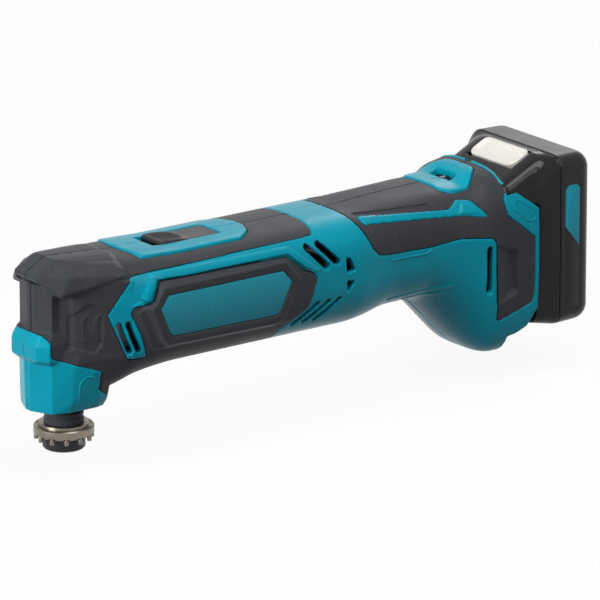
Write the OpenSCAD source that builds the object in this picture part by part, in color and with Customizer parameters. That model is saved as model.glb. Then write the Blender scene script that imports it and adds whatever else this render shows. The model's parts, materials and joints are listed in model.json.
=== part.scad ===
// Cordless oscillating multi-tool with a slide-on battery.
// Frame: origin on the spindle axis at the accessory seat, +X to the battery, +Z up the spindle, mm.

/* [Housing] */
// Half width of the barrel at the name plates
barrel_hw = 27; // [26.6:0.1:27.4]
// Height of the barrel's crown above the motor axis
crown_h = 22.8; // [22.7:0.1:23.4]
// Depth of the barrel's keel below the motor axis
keel_h = 24.4; // [24.2:0.1:25]
// Half width of the grip at its waist
waist_hw = 24; // [23.6:0.1:24.6]
// Height of the motor axis above the accessory seat
axis_z = 47.4; // [47.2:0.1:47.6]
// Wall of the shells with their rubber
wall = 2.7; // [2.5:0.1:2.8]
// Thickness of the rubber grips
grip_t = 1.3; // [1:0.1:1.4]
// Width of the air slots
vent_w = 2.6; // [2:0.1:3]

/* [Accessory seat] */
// Diameter of the tool flange
flange_d = 24; // [23.8:0.2:26]
// Thickness of the flange rim
flange_t = 3.7; // [3.2:0.1:4]
// Circle of the drive pins
pin_circle_d = 22; // [21.6:0.1:22]
// Number of drive pins
pin_count = 12; // [6:6:12]
// Diameter of a drive pin
pin_d = 1.8; // [1.4:0.1:1.8]
// Length of a drive pin below the seat
pin_len = 2; // [1.5:0.1:2.5]
// Diameter of the clamp cap
cap_d = 17; // [16:0.5:17]
// Height of the clamp cap
cap_h = 6; // [5.5:0.1:6.5]
// Diameter of the clamp bolt's thread
bolt_d = 6; // [5:0.5:6]
// Key size of the clamp bolt
key_af = 5; // [4:0.5:5]

/* [Drive] */
// Diameter of the spindle in its lower bearing
spindle_d = 12; // [11:0.5:12]
// Distance of the eccentric from the spindle axis
fork_r = 20; // [19.6:0.1:20.4]
// Throw of the eccentric
throw = 0.56; // [0.4:0.02:0.6]
// Diameter of the rotor shaft
shaft_d = 6; // [5:0.5:6]
// Diameter of the motor can
can_d = 35; // [34:0.2:35.2]
// Diameter of the fan
fan_d = 33; // [30:0.5:33]
// Number of fan blades
fan_n = 9; // [7:1:11]

/* [Controls] */
// Length of the switch slider
slider_len = 28.4; // [27:0.2:29]
// Half width of the switch slider
slider_hw = 6.6; // [6.2:0.1:6.8]
// Forward travel of the switch slider
slider_travel = 3.8; // [3.4:0.1:4]
// Diameter of the speed dial
dial_d = 22; // [21:0.2:22.2]
// Thickness of the speed dial
dial_t = 4; // [3.6:0.1:4.2]

/* [Battery] */
// Diameter of a cell
cell_d = 18.3; // [18:0.1:18.4]
// Length of a cell
cell_len = 65.2; // [64:0.2:65.4]
// Half width of the battery
pack_hw = 29.5; // [29.4:0.1:30.2]
// Rear face of the battery
pack_rear = 243.6; // [243.4:0.2:246]

/* [Clearances] */
// Gap between parts that move past each other
gap = 0.3; // [0.25:0.05:0.35]
// Radial clearance of a shaft in its bearing
run = 0.05; // [0.02:0.01:0.08]

/* [Hidden] */
teal = [0.0, 0.47, 0.55];
rubber = [0.2, 0.2, 0.22];
steel = [0.62, 0.62, 0.64];
alu = [0.75, 0.76, 0.77];
black = [0.1, 0.1, 0.11];
copper = [0.72, 0.42, 0.22];
brass = [0.8, 0.66, 0.32];
board = [0.1, 0.36, 0.2];
$fn = 40;
far = 200;

z_top = axis_z + crown_h;
z_bot = axis_z - keel_h;

// Lengthwise profiles of the body: [x, value]
top_z = [[-10, 71.6], [0, 72.2], [14, 72], [30, z_top + 0.9], [46, z_top], [134, z_top],
  [150, z_top + 1], [172, z_top + 1.6], [188, z_top + 1.2], [192, z_top + 4.6], [204, z_top + 6.4],
  [222, z_top + 6.4]];
low_z = [[-10, 24], [6, 17.6], [11, 17.2], [16, 18.4], [22, 20.4], [30, 22], [40, z_bot - 0.1],
  [46, z_bot], [128, z_bot], [136, z_bot + 0.8], [146, z_bot + 3], [165, z_bot + 3.4],
  [168, z_bot + 2.4], [187, 6], [194, 0.4], [198, -2], [222, -2.4]];
half_y = [[-10, 11.2], [-8, 11.4], [-5.2, 15], [0, 17.8], [10, 20.4], [20, 23.4], [30, 25.6],
  [44, barrel_hw], [128, barrel_hw], [138, barrel_hw - 1.7], [148, waist_hw + 0.1], [166, waist_hw],
  [176, waist_hw + 0.4], [188, 26], [195, 27.2], [222, 27.6]];
mid_z = [[-10, 50], [10, 50], [30, 48], [44, axis_z], [134, axis_z], [150, axis_z + 2.2],
  [168, axis_z + 2], [190, axis_z - 2], [222, axis_z - 2]];
top_n = [[-10, 3.4], [10, 3.2], [44, 3.2], [134, 3.2], [150, 3], [170, 3], [190, 3.2], [222, 3.6]];
low_n = [[-10, 4], [10, 3.2], [24, 2.6], [44, 2.4], [166, 2.4], [176, 2.3], [188, 2.6], [197, 3.8],
  [222, 4.2]];
rings_x = [-9, -7.4, -5, -2, 1, 6, 10, 14, 18, 23, 29, 36, 43, 50, 124, 130, 135, 140, 145, 150, 157, 163,
  166, 170, 177, 184, 188, 190, 193, 197, 203, 218];

function smooth(t, x, r = 3) = (lookup(x - r, t) + 2 * lookup(x - r / 2, t) + 2 * lookup(x, t)
  + 2 * lookup(x + r / 2, t) + lookup(x + r, t)) / 8;
function power(v, e) = sign(v) * pow(abs(v), e);
function section(x, o, n) = let (m = smooth(mid_z, x), w = smooth(half_y, x) - o,
  u = smooth(top_z, x) - o - m, d = m - smooth(low_z, x) - o, a = 2 / smooth(top_n, x),
  b = 2 / smooth(low_n, x)) [for (i = [0:n - 1]) let (t = 360 * i / n, e = sin(t) >= 0 ? a : b)
  [x, w * power(cos(t), e), m + (sin(t) >= 0 ? u : d) * power(sin(t), e)]];

// The body's smooth skin, o mm inside its outer face
module skin(o = 0, n = 28, xs = rings_x) {
  k = len(xs);
  polyhedron(points = [for (x = xs) each section(x, o, n)],
    faces = concat([[for (i = [0:n - 1]) i]], [[for (i = [n - 1:-1:0]) (k - 1) * n + i]],
      [for (s = [0:k - 2], i = [0:n - 1]) [s * n + i, (s + 1) * n + i, s * n + (i + 1) % n]],
      [for (s = [0:k - 2], i = [0:n - 1]) [(s + 1) * n + i, (s + 1) * n + (i + 1) % n,
        s * n + (i + 1) % n]]), convexity = 8);
}

// A side view outline [x, z], cut through the whole width
module side(p, h = far) rotate([90, 0, 0]) linear_extrude(h, center = true) polygon(p);
module side_soft(p, r, h = far) rotate([90, 0, 0]) linear_extrude(h, center = true)
  offset(r, $fn = 10) offset(delta = -r) polygon(p);
module at_x(x) translate([x, 0, axis_z]) rotate([0, 90, 0]) children();
module box(a, b) translate(a) cube(b - a);
function both(p) = concat(p, [for (i = [len(p) - 1:-1:0]) [p[i][0], -p[i][1]]]);
module level(z, p, o = 0, t = 0.01) translate([0, 0, z]) linear_extrude(t)
  offset(delta = -o) polygon(both(p));
module left() intersection() { children(); box([-50, -80, -30], [260, 0, 120]); }
module right() intersection() { children(); box([-50, 0, -30], [260, 80, 120]); }

inner_x = [-9, 1, 10, 20, 32, 46, 128, 137, 146, 164, 168, 178, 187, 191, 195, 199.5];

// Plan outlines of the head: [x, y] of one side
head_plan = [[-15.4, -2.4], [-13, -11.2], [-7.6, -11.6], [-5.4, -14.9], [-2.3, -16.7], [2, -18],
  [10, -20.1], [18, -22]];
chin_low = [[-17, -1.5], [-13, -10.7], [-6, -13.1], [6.6, -13.2], [10.6, -12]];
chin_mid = [[-17.2, -1.6], [-13.1, -10.9], [-6, -14.3], [6.4, -14.9], [12, -13.4]];
chin_top = [[-17.4, -2], [-13.2, -11.2], [-5, -15.9], [5.6, -17.5], [12, -17.2]];
neck_plan = [for (p = head_plan) if (p[0] < 12) p];
band_low = [[-17.2, -5], [-13.8, -11.4], [-8, -11.4]];
band_mid = [[-18.7, -8.3], [-15.3, -12.8], [-8, -13]];
band_top = [[-16.6, -8], [-13.6, -11.6], [-8, -12]];
chin_z = 12.2;

module head(o = 0) {
  translate([0, 0, 33]) linear_extrude(31 - o) offset(delta = -o) polygon(both(head_plan));
  hull() { level(chin_z + o, chin_low, o); level(chin_z + 3.6, chin_mid, o); }
  hull() { level(chin_z + 3.6, chin_mid, o); level(33, chin_top, o); level(38, neck_plan, o + 0.4); }
  hull() { level(32.6, band_low, o); level(34.6, band_mid, o); level(40.6, band_mid, o);
    level(44.8 - o, band_top, o); }
}
module body(o = 0) { skin(o, o > 0 ? 20 : 28); head(o); }

// Rubber hood over the work light
module ball(p, r) translate(p) sphere(r, $fn = 14);
module hood() hull() for (s = [-1, 1]) {
  ball([-16.6, s * 6.6, 67.6], 1.5);
  ball([-11, s * 15.5, 62], 1.7);
  ball([-8.6, s * 6, 71.4], 2.3);
  ball([-7, s * 14, 67.2], 2.3);
  ball([16, s * 8, 70], 2.3);
  ball([14, s * 19.2, 65.7], 1.6);
  ball([14, s * 16.2, 67.4], 2.4);
  ball([27, s * 8, 67.6], 1.6);
  ball([25, s * 17.4, 63], 1.2);
}
lamp_z = 63.2;
module lamp_recess() hull() {
  box([-22, -9.8, 57.6], [-13.2, 9.8, 57.7]);
  box([-22, -9.2, 65.4], [-20, 9.2, 66.2]);
  box([-13.0, -8, 62.2], [-12.9, 8, 64.8]);
}

// Side outlines of the two grips and of the windows in them
front_edge = [[-30, 92], [110.4, 92], [110.4, 72], [106.4, 66.4], [23.4, 65.5], [18.2, 64.8], [7.6, 51],
  [16, 32], [24.6, 31.6], [20.8, 42.3], [16.8, 50.8], [18.4, 53.3], [25.7, 54.2], [28.8, 61.6],
  [30.4, 62.3], [90, 61.6], [98.3, 54.6], [101.2, 54.1], [104.4, 50.6], [100.2, 39.5], [88.6, 31],
  [88.2, 5], [14, 5], [11.4, 16.6], [6, 20.2], [6, 28.5], [-13.4, 35.2], [-14.6, 36.6], [-14.6, 42.6],
  [-16, 44.6], [-30, 45.6]];
rear_edge = [[126.6, 92], [126.6, 72], [128.6, 67.2], [133.2, 57.4], [136.6, 53.8], [142.6, 52.6],
  [163.6, 51.8], [179, 52.8], [193.4, 50.9], [195.2, 48.6], [196.6, 15], [213.6, 20.8],
  [214.8, 24], [214.8, 48], [201, 59.4], [200, 65.4], [203, 70.4], [201.8, 74], [201.8, 92]];
rear_cut = [[-40, -20], [203.8, -20], [203.8, 7], [208, 7.8], [212.6, 10.5], [217, 18], [217, 59.8],
  [207, 67.4], [203.6, 73], [203.6, 100], [-40, 100]];
stripe = [[131.6, 68.3], [160.9, 65.9], [174.8, 64.7], [180.3, 67.4], [186.2, 66.6], [191.8, 60],
  [183.2, 61.5], [178.6, 62.1], [159.9, 63.7], [132.4, 66]];
inset = [[131.2, 69.4], [166.5, 68.4], [169.6, 65.5], [160.9, 66.3], [131.8, 68.7]];
name_edge = [[27.4, 51.9], [31.2, 57], [87, 57], [91.4, 52], [85.6, 40.4], [83.4, 39.2], [33.4, 40],
  [31.6, 41.4]];
plate_hy = barrel_hw + 0.9;
switch_edge = [[24.6, -4], [27, -15], [75.4, -14.8], [82.4, -9.8], [85.4, -3]];
dial_x = 186;
dial_edge = [[176.6, -11.5], [180.4, -15.2], [189.4, -15.6], [197.4, -8.6], [198, -4]];

module front_zone() difference() {
  side_soft(front_edge, 0.7);
  translate([0, 0, 60]) linear_extrude(40) offset(1.2, $fn = 8) offset(delta = -1.2)
    polygon(both(switch_edge));
}
module rear_zone() difference() {
  side_soft(rear_edge, 0.8);
  side_soft(stripe, 0.3);
  translate([0, 0, 62]) linear_extrude(40) offset(1, $fn = 8) offset(delta = -1) polygon(both(dial_edge));
}
module pads() {
  intersection() { skin(-0.7); translate([0, 0, 60]) linear_extrude(40) offset(1, $fn = 8)
    offset(delta = -1.2) polygon(both(switch_edge)); }
  intersection() { skin(-0.7); translate([0, 0, 62]) linear_extrude(40) offset(1, $fn = 8)
    offset(delta = -1.2) polygon(both(dial_edge)); }
  intersection() { skin(-0.5); rotate([90, 0, 0]) linear_extrude(far, center = true) difference() {
    offset(delta = 3.1) polygon(frame_edge); offset(delta = 0.9) polygon(frame_edge);
    translate([-20, -10]) square([160, 63.6]); } }
  intersection() { skin(-0.4); side([[179.6, 63.2], [188, 62.2], [185, 65.6], [181.6, 66.2]]); }
  intersection() { skin(-0.4); union() { side([[146, 31.4], [176, 32.8], [176, 33.5], [146, 32.1]]);
    side([[156, 29.2], [174, 30], [174, 30.7], [156, 29.9]]); } }
}
frame_edge = [[24.6, 53.8], [28.6, 62.2], [90.4, 61.8], [98.4, 54.8], [104.4, 50.6], [100.2, 39.5],
  [93, 34.5], [26, 35], [22.7, 42.2], [19, 50.8]];

// Cutters through the shells
module slot_cut(a, b, w) rotate([90, 0, 0]) linear_extrude(far, center = true)
  hull() { translate(a) circle(w / 2, $fn = 10); translate(b) circle(w / 2, $fn = 10); }
module vents() {
  hull() { slot_cut([12.2, 46.4], [14, 41.4], vent_w); }
  hull() { slot_cut([14, 41.4], [16.8, 35.6], vent_w); }
  hull() { slot_cut([16, 46.6], [17.8, 41.4], vent_w); }
  hull() { slot_cut([17.8, 41.4], [20.6, 35.4], vent_w); }
  hull() slot_cut([101.2, 63], [109.2, 54.6], vent_w + 0.4);
  hull() slot_cut([107, 63.2], [114.6, 55.4], vent_w + 0.4);
  hull() side([[119, 56.2], [121.2, 55.8], [123.6, 50.4], [119.4, 49.6]]);
  hull() side([[119.4, 46.8], [123.4, 46.2], [119.6, 41]]);
  for (k = [0:2]) hull() slot_cut([94.6 + k * 5.4, 32.6], [105.4 + k * 5.4, 40.2], vent_w - 0.9);
  hull() slot_cut([192.2, 28.8], [192.2, 46.6], 2.4);
}
slot_x = 38.6;
slider_x = slot_x + slider_travel + gap + 0.3;
wheel_x = dial_x + 0.4;
dial_z = z_top + 1.6 - dial_d / 2;
module top_cuts() {
  box([slot_x, -slider_hw - gap, 60], [slider_x + slider_len + gap, slider_hw + gap, 90]);
  box([wheel_x - gap, -6.6, dial_z], [wheel_x + dial_t + gap, 6.6, 90]);
  translate([0, 0, dial_z - axis_z]) at_x(wheel_x - gap)
    cylinder(dial_t + 2 * gap, dial_d / 2 + gap, dial_d / 2 + gap);
}
channel_x = 202;
channel_hy = 24;
floor_z = 11.5;
rail_z = 64;
module channel() difference() {
  box([channel_x, -channel_hy, floor_z], [240, channel_hy, 110]);
  for (s = [-1, 1]) translate([210.1, s * channel_hy, 46]) cube([3.4, 4.4, 36], center = true);
}
screw_at = [[-5.4, 66.6], [46, 27.8], [127, 31], [130, 61.8], [161, 33.4], [187, 14.6], [196.2, 55]];
screw_y = 10;
module screw_room(r1, r2) for (p = screw_at) translate([p[0], 0, p[1]]) rotate([-90, 0, 0]) {
  translate([0, 0, -9.5]) cylinder(screw_y + 10, r1, r1, $fn = 14);
  translate([0, 0, screw_y]) cylinder(40, r2, r2, $fn = 14);
}
module bosses() for (p = screw_at) translate([p[0], 0, p[1]]) rotate([-90, 0, 0]) {
  translate([0, 0, -40]) cylinder(60, 3, 3, $fn = 12);
  translate([0, 0, screw_y - 2.4]) cylinder(40, 4.6, 4.6, $fn = 12);
}

// Ribs that hold the inner parts
can_r = can_d / 2;
gear_hy = 13.2;
gear_r = 12;
module slab(x, t) box([x, -40, 0], [x + t, 40, 90]);
module ribs() difference() {
  union() {
    for (x = [74, 90, 105]) slab(x, 2.4);
    slab(31, 2);
    slab(138, 2); slab(150, 2);
    for (x = [170.4, 173.8]) slab(x, 1.4);
    box([-30, -30, 25.4], [20, 30, 27.4]);
    box([-30, -30, 54.6], [6, 30, 56.4]);
  }
  at_x(50) cylinder(70, can_r + 0.15, can_r + 0.15, $fn = 24);
  translate([0, 0, 10]) cylinder(60, gear_r + 0.15, gear_r + 0.15, $fn = 24);
  box([0, -gear_hy - 0.15, 33.3], [40, gear_hy + 0.15, 61.65]);
  box([0, -5.2, rod_z - 0.6], [160, 5.2, 90]);
  box([136, -6.15, 54.8], [154.2, 6.15, 90]);
  box([137, -30, 20], [153, 30, 54.8]);
  box([171.9, -15.1, 35.9], [173.7, 15.1, 65.7]);
  box([170, -13, 38.5], [176, 13, 90]);
  box([slot_x - 1, -9, rod_z - 0.6], [slider_x + slider_len + 2, 9, 90]);
}
module cavity() {
  skin(wall, 16, inner_x);
  head(wall);
  translate([0, 0, 40]) cylinder(21.4, gear_r + 0.2, gear_r + 0.2, $fn = 24);
}
module shell() difference() {
  union() {
    difference() {
      union() {
        difference() { union() { body(0); pads(); } front_zone(); rear_zone(); }
        body(grip_t);
      }
      cavity();
    }
    intersection() { body(grip_t + 0.6); union() { ribs(); bosses(); } }
  }
  pocket(lining);
  vents();
  top_cuts();
  box([slot_x - 2, -8 - gap, 60], [slider_x + slider_len + 2, 8 + gap, z_top - wall]);
  channel();
  difference() { box([150, -60, -40], [260, 60, 130]); side(rear_cut); }
  at_lamp() cylinder(20, 2.25, 2.25);
  translate([0, 0, chin_z - 1]) cylinder(20, 9.2, 9.2);
}
module at_lamp() translate([-13.4, 0, lamp_z]) rotate([0, 90, 0]) children();

module housing_left() color(teal) left() difference() { shell(); screw_room(1.45, 0.1); }
module housing_right() color(teal) right() difference() { shell(); screw_room(1.7, 3.3); }

// Finger pocket at each side of the rear, grown by g; it deepens from its front edge to a crease
pocket_rim = [[195.4, 48.8], [206.2, 45.4], [208.2, 43.2], [208.4, 24.6], [204, 22.8], [196.4, 21]];
pocket_front = [[195.6, 46.6], [196.6, 46.6], [197.2, 23.4], [196.2, 23.4]];
pocket_crease = [[204, 42.4], [204.6, 42.4], [204.8, 28], [204.2, 28]];
lining = 0.6;
module across(y, p, g) rotate([90, 0, 0]) translate([0, 0, y]) linear_extrude(0.01) offset(delta = g)
  polygon(p);
module pocket(g = 0) for (m = [0, 1]) mirror([0, m, 0]) hull() {
  across(28.4, pocket_rim, g);
  across(26.4 - g, pocket_front, g);
  across(25.2 - g, pocket_crease, g);
}

// Grips
module frame_pad() difference() {
  union() {
    intersection() { skin(-0.7); side_soft(frame_edge, 0.6); }
    for (m = [0, 1]) mirror([0, m, 0]) hull() {
      rotate([90, 0, 0]) translate([0, 0, barrel_hw - 6]) linear_extrude(0.01) offset(delta = 7)
        polygon(name_edge);
      rotate([90, 0, 0]) translate([0, 0, plate_hy]) linear_extrude(0.01) offset(delta = 3.2)
        polygon(name_edge);
    }
  }
  for (s = [-1, 1]) translate([0, s * (plate_hy + 4.1), 0]) side(name_edge, 10);
}
head_panel = [[-7, 52], [1.4, 56.8], [5.4, 52], [5.4, 40], [2.5, 36.4], [-7, 39.6]];
module head_marks() intersection() {
  body(0.1);
  rotate([90, 0, 0]) linear_extrude(far, center = true) for (x = [8.6, 13.8])
    intersection() { translate([x, 46.6]) difference() { circle(11.4); circle(10.4); }
      translate([x - 12, 41.6]) square([6, 10]); }
}
module front_grip() difference() {
  union() {
    intersection() {
      front_zone();
      union() { body(0); frame_pad(); difference() { hood(); lamp_recess(); } }
    }
  }
  body(grip_t);
  for (s = [-1, 1]) translate([0, s * (plate_hy + 4.1), 0]) side(name_edge, 10);
  difference() { side_soft(head_panel, 0.6); body(0.6); head_marks(); }
  vents();
  at_lamp() cylinder(20, 2.25, 2.25);
  translate([0, 0, chin_z - 1]) cylinder(20, 9.2, 9.2);
}
module rear_grip() difference() {
  intersection() {
    rear_zone();
    side(rear_cut);
    body(0);
    union() { difference() { skin(-1); body(grip_t); } pocket(lining); }
  }
  difference() { intersection() { side_soft(inset, 0.3); skin(-1); } skin(0.45); }
  pocket();
  channel();
}
module front_grip_left() color(rubber) left() front_grip();
module front_grip_right() color(rubber) right() difference() { front_grip(); screw_room(1.7, 3.3); }
module rear_grip_left() color(rubber) left() rear_grip();
module rear_grip_right() color(rubber) right() difference() { rear_grip(); screw_room(1.7, 3.3); }

plate_t = 0.8;
module name_plate() rotate([90, 0, 0]) linear_extrude(plate_t) offset(delta = -0.1) polygon(name_edge);
module name_plate_left() color(teal) translate([0, -plate_hy + plate_t + 0.1, 0]) name_plate();
module name_plate_right() color(teal) translate([0, plate_hy - 0.1, 0]) name_plate();

module housing_screws() color(black) for (p = screw_at) translate([p[0], 0, p[1]]) rotate([-90, 0, 0])
  difference() {
    union() {
      translate([0, 0, -9]) cylinder(screw_y + 9, 1.35, 1.35);
      translate([0, 0, screw_y]) cylinder(2.2, 3, 3);
    }
    translate([0, 0, screw_y + 1]) cylinder(5, 1.2, 1.2, $fn = 6);
  }

// Spindle drive
spindle_r = spindle_d / 2;
low_brg_r = 10.5;
low_brg_z = 22;
top_brg_r = 9.5;
hub_top = 52.6;
top_brg_z = 53;
bearing_w = 6;
module ring(r1, r2, h) difference() { cylinder(h, r2, r2); translate([0, 0, -1]) cylinder(h + 2, r1, r1); }
module bearing(r1, r2, h) difference() {
  ring(r1, r2, h);
  for (z = [0, h]) translate([0, 0, z - 0.4]) ring((r1 + r2) / 2 - 1, (r1 + r2) / 2 + 1, 0.8);
}
module gear_housing() color(alu) difference() {
  union() {
    translate([0, 0, low_brg_z - 0.6]) cylinder(61.6 - low_brg_z, gear_r, gear_r);
    translate([0, 0, 15]) cylinder(10, 9, 9);
    box([0, -gear_hy, 34.5], [37, gear_hy, 61]);
    at_x(37) cylinder(1.5, 12, 12);
  }
  translate([0, 0, low_brg_z]) cylinder(bearing_w, low_brg_r, low_brg_r);
  translate([0, 0, 14]) cylinder(20, 7.4, 7.4);
  translate([0, 0, 30]) cylinder(top_brg_z - 30, 10, 10);
  translate([0, 0, top_brg_z]) cylinder(bearing_w, top_brg_r, top_brg_r);
  box([0, -gear_hy + 1.7, 37], [27.6, gear_hy - 1.7, 58.8]);
  at_x(27) cylinder(12, 5.2, 5.2);
  at_x(29) cylinder(bearing_w, top_brg_r, top_brg_r);
  at_x(35) cylinder(6, 7.4, 7.4);
}
module low_bearing() color(steel) translate([0, 0, low_brg_z]) bearing(spindle_r + run, low_brg_r, bearing_w);
module top_bearing() color(steel) translate([0, 0, top_brg_z]) bearing(4 + run, top_brg_r, bearing_w);
module spindle() color(steel) difference() {
  union() { cylinder(top_brg_z - 0.2, spindle_r, spindle_r); cylinder(top_brg_z + bearing_w, 4, 4); }
  translate([0, 0, -1]) cylinder(17, bolt_d / 2 + run, bolt_d / 2 + run);
}
ecc_r = 6.5;
jaw_y = ecc_r + 2 * throw + 0.2;
module swing_fork() color(steel) difference() {
  union() {
    translate([0, 0, axis_z - 6.6]) cylinder(hub_top - axis_z + 6.6, 9.4, 9.4);
    box([2, -jaw_y - 2.4, axis_z - 5], [fork_r + 3.2, jaw_y + 2.4, axis_z + 5]);
  }
  translate([0, 0, 20]) cylinder(60, spindle_r, spindle_r);
  box([fork_r - 6, -jaw_y, 20], [fork_r + 10, jaw_y, 80]);
}
step_z = flange_t + 1;
module tool_flange() color(steel) difference() {
  union() {
    cylinder(0.7, flange_d / 2 - 0.6, flange_d / 2);
    translate([0, 0, 0.7]) cylinder(flange_t - 1.1, flange_d / 2, flange_d / 2);
    translate([0, 0, flange_t - 0.4]) cylinder(0.4, flange_d / 2, flange_d / 2 - 0.4);
    translate([0, 0, flange_t]) cylinder(step_z - flange_t, 10, 10);
  }
  translate([0, 0, -1]) cylinder(20, spindle_r, spindle_r);
  translate([0, 0, flange_t - 0.5]) ring(10.3, 10.9, 2);
  translate([0, 0, -1]) cylinder(1.5, cap_d / 2 + seat_room, cap_d / 2 + seat_room);
  at_pins() { translate([0, 0, -1]) pin_rod(1 + shank_len, shank_r);
    translate([0, 0, -1]) pin_rod(1.3, pin_d / 2 + 0.15); }
}
// Each pin stands on a thinner shank that is pressed into the flange
shank_r = pin_d / 2 - 0.2;
shank_len = 1.6;
seat_room = 0.4;
module at_pins() for (i = [0:pin_count - 1]) rotate(i * 360 / pin_count)
  translate([pin_circle_d / 2, 0, 0]) children();
module pin_rod(h, r) cylinder(h, r, r, $fn = 24);
module flange_pins() color(steel) at_pins() {
  translate([0, 0, -pin_len]) pin_rod(pin_len, pin_d / 2);
  translate([0, 0, -0.5]) pin_rod(0.5 + shank_len, shank_r);
}
boot_top = chin_z - 0.5;
module spindle_boot() color(black) translate([0, 0, step_z]) rotate_extrude() polygon([[spindle_r, 0],
  [8, 0], [8, 2], [7.4, 2.4], [7.4, 3], [7.9, 3.4], [7.9, 4.8], [7.2, 5.2], [7.2, 5.8], [7.6, 6.2],
  [7.6, boot_top - step_z], [spindle_r, boot_top - step_z]]);
seat_gap = 0.1;
head_r = 5;
module clamp_cap() color(black) difference() {
  translate([0, 0, -cap_h]) { cylinder(0.8, cap_d / 2 - 0.8, cap_d / 2);
    translate([0, 0, 0.8]) cylinder(cap_h - 0.8 - seat_gap, cap_d / 2, cap_d / 2); }
  translate([0, 0, -cap_h - 1]) cylinder(cap_h, head_r + gap, head_r + gap);
  translate([0, 0, -20]) cylinder(40, bolt_d / 2 + gap, bolt_d / 2 + gap);
}
module clamp_bolt() color(black) difference() {
  union() {
    translate([0, 0, 0.6 - cap_h]) cylinder(cap_h - 1.6, head_r, head_r);
    translate([0, 0, -1.2]) cylinder(15, bolt_d / 2, bolt_d / 2);
  }
  translate([0, 0, -cap_h - 1]) cylinder(4.8, key_af / sqrt(3), key_af / sqrt(3), $fn = 6);
}

// Motor, from the eccentric at the front to its rear bearing
shaft_r = shaft_d / 2;
module rotor_shaft() color(steel) {
  at_x(23) cylinder(89.5, shaft_r, shaft_r);
  at_x(112.5) cylinder(7, 2.4, 2.4);
  translate([0, 0, throw]) at_x(fork_r - 3.4) cylinder(6.8, shaft_r, shaft_r);
}
module eccentric_bearing() color(steel) translate([0, 0, throw]) at_x(fork_r - 2.5)
  bearing(shaft_r, ecc_r, 5);
module balance_weight() color(brass) difference() {
  at_x(23.6) cylinder(3.6, 9.4, 9.4);
  at_x(20) cylinder(10, shaft_r, shaft_r);
  box([20, -20, axis_z + 3.6], [30, 20, axis_z + 30]);
}
module front_bearing() color(steel) at_x(29) bearing(shaft_r + run, top_brg_r, bearing_w);
fan_x = 42;
module fan() color(black) difference() {
  union() {
    at_x(fan_x) cylinder(9, 6.5, 6.5);
    at_x(fan_x + 7.6) cylinder(1.4, fan_d / 2, fan_d / 2);
    for (i = [0:fan_n - 1]) at_x(fan_x + 0.6) rotate(i * 360 / fan_n) translate([5.5, -0.6, 0])
      cube([fan_d / 2 - 6.2, 1.2, 7.4]);
  }
  at_x(fan_x - 1) cylinder(20, shaft_r, shaft_r);
}
can_x = 55;
can_len = 55;
module motor_can() color(alu) difference() {
  at_x(can_x) cylinder(can_len, can_r, can_r);
  at_x(can_x + 1.4) cylinder(can_len, can_r - 1.2, can_r - 1.2);
  at_x(can_x - 1) cylinder(5, shaft_r + 1.5, shaft_r + 1.5);
  for (i = [0:5]) at_x(can_x - 1) rotate(i * 60 + 30) translate([11, 0, 0]) cylinder(5, 2.6, 2.6);
}
mag_r = 14.1;
module magnets() color(black) difference() {
  at_x(60) ring(mag_r, can_r - 1.2, 38);
  box([50, -40, axis_z - 4], [110, 40, axis_z + 4]);
}
module rotor_core() color(steel) difference() {
  at_x(64) cylinder(30, mag_r - 0.6, mag_r - 0.6);
  at_x(60) cylinder(40, shaft_r, shaft_r);
  for (i = [0:9]) at_x(60) rotate(i * 36) translate([9.5, -1, 0]) cube([8, 2, 40]);
}
module windings() color(copper) for (x = [60, 94]) at_x(x) rotate_extrude() polygon([[shaft_r, 0],
  [10.6, 0], [12, 1.2], [12, 2.8], [11, 4], [shaft_r, 4]]);
module commutator() color(copper) difference() {
  at_x(98.6) cylinder(9, 5.5, 5.5);
  at_x(90) cylinder(30, shaft_r, shaft_r);
  for (i = [0:9]) at_x(98) rotate(i * 36) translate([5, -0.2, 0]) cube([2, 0.4, 8.4]);
}
brush_x = [100.4, 106.4];
module brushes() color([0.25, 0.25, 0.26]) for (s = [-1, 1]) translate([0, s * 9.6, 0])
  box([brush_x[0], -4, axis_z - 3], [brush_x[1], 4, axis_z + 3]);
module motor_end_cap() color(black) difference() {
  union() {
    at_x(can_x + can_len) cylinder(9, can_r, can_r);
    at_x(can_x + can_len - 2.6) ring(13, can_r - 1.3, 3);
    for (s = [-1, 1]) translate([0, s * 11.2, 0])
      box([brush_x[0] - 1, -4.2, axis_z - 4.4], [can_x + can_len + 1, 4.2, axis_z + 4.4]);
  }
  for (s = [-1, 1]) translate([0, s * 9.6, 0])
    box([brush_x[0], -4.05, axis_z - 3], [brush_x[1], 4.05, axis_z + 3]);
  at_x(90) cylinder(40, shaft_r + 0.8, shaft_r + 0.8);
  at_x(113) cylinder(5, 8, 8);
  for (i = [0:5]) at_x(108) rotate(i * 60 + 30) translate([13, 0, 0]) cylinder(14, 2, 2);
}
module rear_bearing() color(steel) at_x(113) bearing(2.4 + run, 8, 5);

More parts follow.
